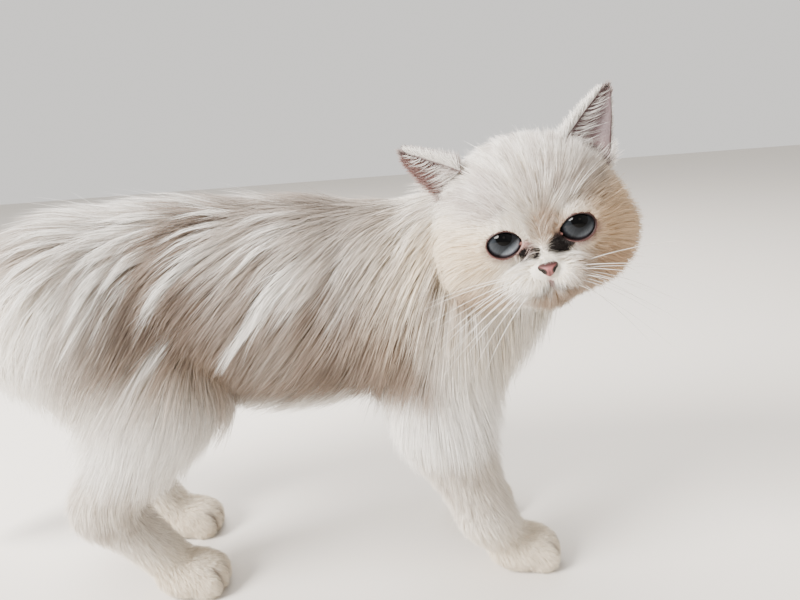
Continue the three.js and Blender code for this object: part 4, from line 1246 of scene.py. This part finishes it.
def bent(start, way, reach, bend, stations):
    """Paths that set out one way from each place and bend another way towards their tips"""
    t = np.linspace(0, 1, stations)[:, None]
    return start[:, None, :] + way[:, None, :] * reach[:, None, None] * t + bend * t**2


def strands(name, start, reach, way, bend, width, root, tip, spread=0.25):
    """Tufts that spring from places in the head's axes, all bending the same way"""
    count = len(start)
    way = unit(way + random.normal(0, spread, (count, 3)))
    path = bent(start, way, reach, bend, STRAND_STATIONS)
    across = unit(np.cross(way, random.normal(size=(count, 3)))) @ HEAD_AXES
    chart = np.stack([random.random(count), random.random(count)], 1) * 0.98 + 0.01
    shade = random.uniform(0.88, 1.05, count)[:, None]
    tufts = Tufts(from_head(path), np.full(count, width), across, root * shade, tip * shade, chart)
    points, faces, uv, tint = tuft_mesh(tufts)
    make(name, points, faces, COAT_LOOK, uv=uv, tint=tint)


def ear_hair(name, ear):
    """The hair of one ear. The edge nearer the middle of the head is the inner one"""
    root, _, axis, out, across = ear_axes(ear)
    inner = -np.sign(across[0] * root[0])
    straight = np.zeros(3)

    def grow(part, t, u, behind, *rest):
        strands(f"coat_{name}_{part}", ear_place(ear, t, u, behind), *rest)

    count = 6200
    t = random.random(count) ** 1.15 * 0.98
    u = random.uniform(-1, 1, count)
    reach = mix(9.0, 3.2, t) * random.uniform(0.7, 1.15, count)
    way = axis - out * 0.42 + across * (u * 0.25)[:, None]
    ground = mix(WHITE, LILAC, 0.8 if name == "ear_right" else 0.2)
    pale = blend(np.tile(ground, (count, 1)), EAR_RIM, step(0.75, 1.0, t) * 0.5)
    grow("back", t, u, EAR_THICK * 0.7, reach, way, -out * 1.2, 0.42, pale * 0.85, pale)

    count = 1000
    t = random.random(count) * 0.93
    reach = mix(11.0, 4.0, t) * random.uniform(0.6, 1.1, count)
    way = axis + across * (0.6 * inner) - out * 0.3
    grow("edge", t, inner, 1.0, reach, way, straight, 0.36, WHITE * 0.9, WHITE)

    count = 420
    t = random.random(count) * 0.3
    reach = random.uniform(3.0, 6.5, count)
    way = axis * 0.8 - across * (0.5 * inner)
    grow("outer", t, -0.97 * inner, 0.6, reach, way, straight, 0.36, WHITE * 0.8, WHITE)

    count = 100
    t = np.round(random.random(count) * 12) / 12 * 0.86 + random.normal(0, 0.012, count)
    t = np.clip(t, 0.0, 0.88)
    reach = mix(23.0, 5.0, t) * random.uniform(0.6, 1.05, count)
    way = axis * 0.35 - across * inner + out * 0.25
    u = random.uniform(0.75, 0.98, count) * inner
    grow("inside", t, u, 0.0, reach, way, axis * 4.0 - out * 2.0, 0.22, WHITE * 0.7, WHITE, 0.1)

    count = 240
    t = random.uniform(0.88, 0.99, count)
    reach = random.uniform(2.5, 5.5, count)
    u = random.uniform(-1, 1, count)
    grow("tip", t, u, 0.3, reach, axis, straight, 0.36, EAR_RIM, LILAC, 0.14)

    count = 420
    t = random.random(count) * 0.05
    reach = random.uniform(7, 14, count)
    way = axis + out * 0.2 - across * (0.35 * inner)
    u = random.uniform(-0.9, 0.9, count)
    grow("base", t, u, -1.0, reach, way, out * 2.0, 0.34, LILAC, mix(LILAC, WHITE, 0.6))

    if name == "ear_right":
        count = 3000
        t = random.random(count) * 0.9
        u = -inner * random.uniform(0.15, 1.0, count)
        reach = mix(10.0, 4.0, t) * random.uniform(0.6, 1.1, count)
        way = axis * 0.9 + out * 0.35 - across * (0.15 * inner)
        tips = mix(LILAC, PINK, 0.3) * 0.8
        grow("fluff", t, u, 0.0, reach, way, straight, 0.34, PINK * 0.5, tips)


# Whiskers: long fine hairs from the pads, and a few over the eyes
WHISKER_SIDES = 4
WHISKER_STATIONS = 9
LONG_WHISKER = 32


def make_whiskers():
    starts, ways, reaches, bends = [], [], [], []
    for side in (-1, 1):
        for row in range(4):
            for column in range(4 if row < 3 else 2):
                starts.append([side * (9.5 + 2.2 * column), 10.0 - 2.6 * column, -18.5 - 2.3 * row])
                ways.append([side * 1.0, 0.12 - 0.08 * column, -0.12 - 0.2 * row + 0.05 * column])
                reaches.append(random.uniform(34, 58))
                bends.append([side * 2.0, -8.0, -9 - 3 * row])
        for k in range(3):
            starts.append([side * (16 + 2 * k), 4.5, 13.0 + k])
            ways.append([side * (0.35 + 0.2 * k), 0.25, 1.0])
            reaches.append(random.uniform(18, 30))
            bends.append([side * 5.0, -6.0, -4.0])
    starts, ways, reaches, bends = (np.array(a, float) for a in (starts, ways, reaches, bends))
    ways = unit(ways + random.normal(0, 0.05, ways.shape))
    path = bent(starts, ways, reaches, bends[:, None, :], WHISKER_STATIONS)
    count = len(path)
    ahead = unit(np.gradient(path, axis=1))
    level = unit(np.cross(ahead, [0, 0, 1.0]))
    upright = np.cross(ahead, level)
    turn = math.tau * np.arange(WHISKER_SIDES)[:, None] / WHISKER_SIDES
    out = level[:, :, None, :] * np.cos(turn) + upright[:, :, None, :] * np.sin(turn)
    thin = 1 - 0.85 * np.linspace(0, 1, WHISKER_STATIONS)[:, None]
    radius = np.where(reaches > LONG_WHISKER, 0.2, 0.13)[:, None, None] * thin
    points = from_head((path[:, :, None, :] + radius[..., None] * out).reshape(-1, 3))
    per = WHISKER_STATIONS * WHISKER_SIDES
    faces = (np.arange(count) * per)[:, None, None] + turned_rings(WHISKER_STATIONS, WHISKER_SIDES)
    chart = np.repeat(np.stack([np.linspace(0.02, 0.98, count), np.full(count, 0.5)], 1), per, axis=0)
    along = np.linspace(-CHART_PATCH / 2, CHART_PATCH / 2, WHISKER_STATIONS)
    chart[:, 1] += np.tile(np.repeat(along, WHISKER_SIDES), count)
    make("whiskers", points, faces.reshape(-1, 3), COAT_LOOK, uv=chart, tint=np.tile(WHITE, (len(points), 1)))


grow_coat()
make_eyes()
make_nose()
make_ears()
make_whiskers()

# Stage: a pale floor, soft light, and the camera at the photo's angle
CAMERA_AT = np.array([0, -382, 295.0])
CAMERA_PITCH = math.radians(15.6)
CAMERA_ROLL = math.radians(4.3)
CAMERA_LENS = 27.05
CAMERA_SENSOR = 36
LIGHT_AIM = (0, 0, 0.15)


def stage_floor():
    bpy.ops.mesh.primitive_plane_add(size=8, location=(0, 0, 0))
    floor = bpy.context.object
    floor.name = "floor"
    material, _, shader = nodes_of("pale_floor")
    shader.inputs["Base Color"].default_value = (0.66, 0.62, 0.57, 1)
    shader.inputs["Roughness"].default_value = 0.7
    floor.data.materials.append(material)


def put_up(name, data, right, up, back, at):
    """A lamp or camera at a place in metres, with its own axes"""
    item = bpy.data.objects.new(name, data)
    turned = np.stack([right, up, back, at], 1)
    item.matrix_world = Matrix(np.vstack([turned, [0, 0, 0, 1]]).tolist())
    bpy.context.scene.collection.objects.link(item)
    return item


def soft_light(name, place, size, power, colour):
    light = bpy.data.lights.new(name, "AREA")
    light.shape = "DISK"
    light.size = size
    light.energy = power
    light.color = colour
    way = unit(np.array(place, float) - LIGHT_AIM)
    side = unit(np.cross([0, 0, 1], way))
    put_up(name, light, side, np.cross(way, side), way, place)


def photo_camera():
    ahead = np.array([0, math.cos(CAMERA_PITCH), -math.sin(CAMERA_PITCH)])
    level = np.array([1.0, 0, 0])
    upright = np.cross(level, ahead)
    right = level * math.cos(CAMERA_ROLL) - upright * math.sin(CAMERA_ROLL)
    up = upright * math.cos(CAMERA_ROLL) + level * math.sin(CAMERA_ROLL)
    data = bpy.data.cameras.new("camera")
    data.lens = CAMERA_LENS
    data.sensor_width = CAMERA_SENSOR
    data.clip_start = 0.01
    camera = put_up("camera", data, right, up, -ahead, (CAMERA_AT + SHIFT) / MM)
    bpy.context.scene.camera = camera


stage_floor()
soft_light("key", (-1.5, -0.8, 1.35), 0.9, 190, (1, 0.97, 0.93))
soft_light("fill", (1.3, -0.9, 0.8), 1.6, 3, (1, 0.93, 0.86))
soft_light("top", (-0.3, 0.7, 1.6), 1.4, 60, (1, 0.98, 0.96))
world = bpy.data.worlds.new("world")
world.use_nodes = True
background = world.node_tree.nodes["Background"]
background.inputs["Color"].default_value = (0.86, 0.84, 0.81, 1)
background.inputs["Strength"].default_value = 1.2
bpy.context.scene.world = world
photo_camera()
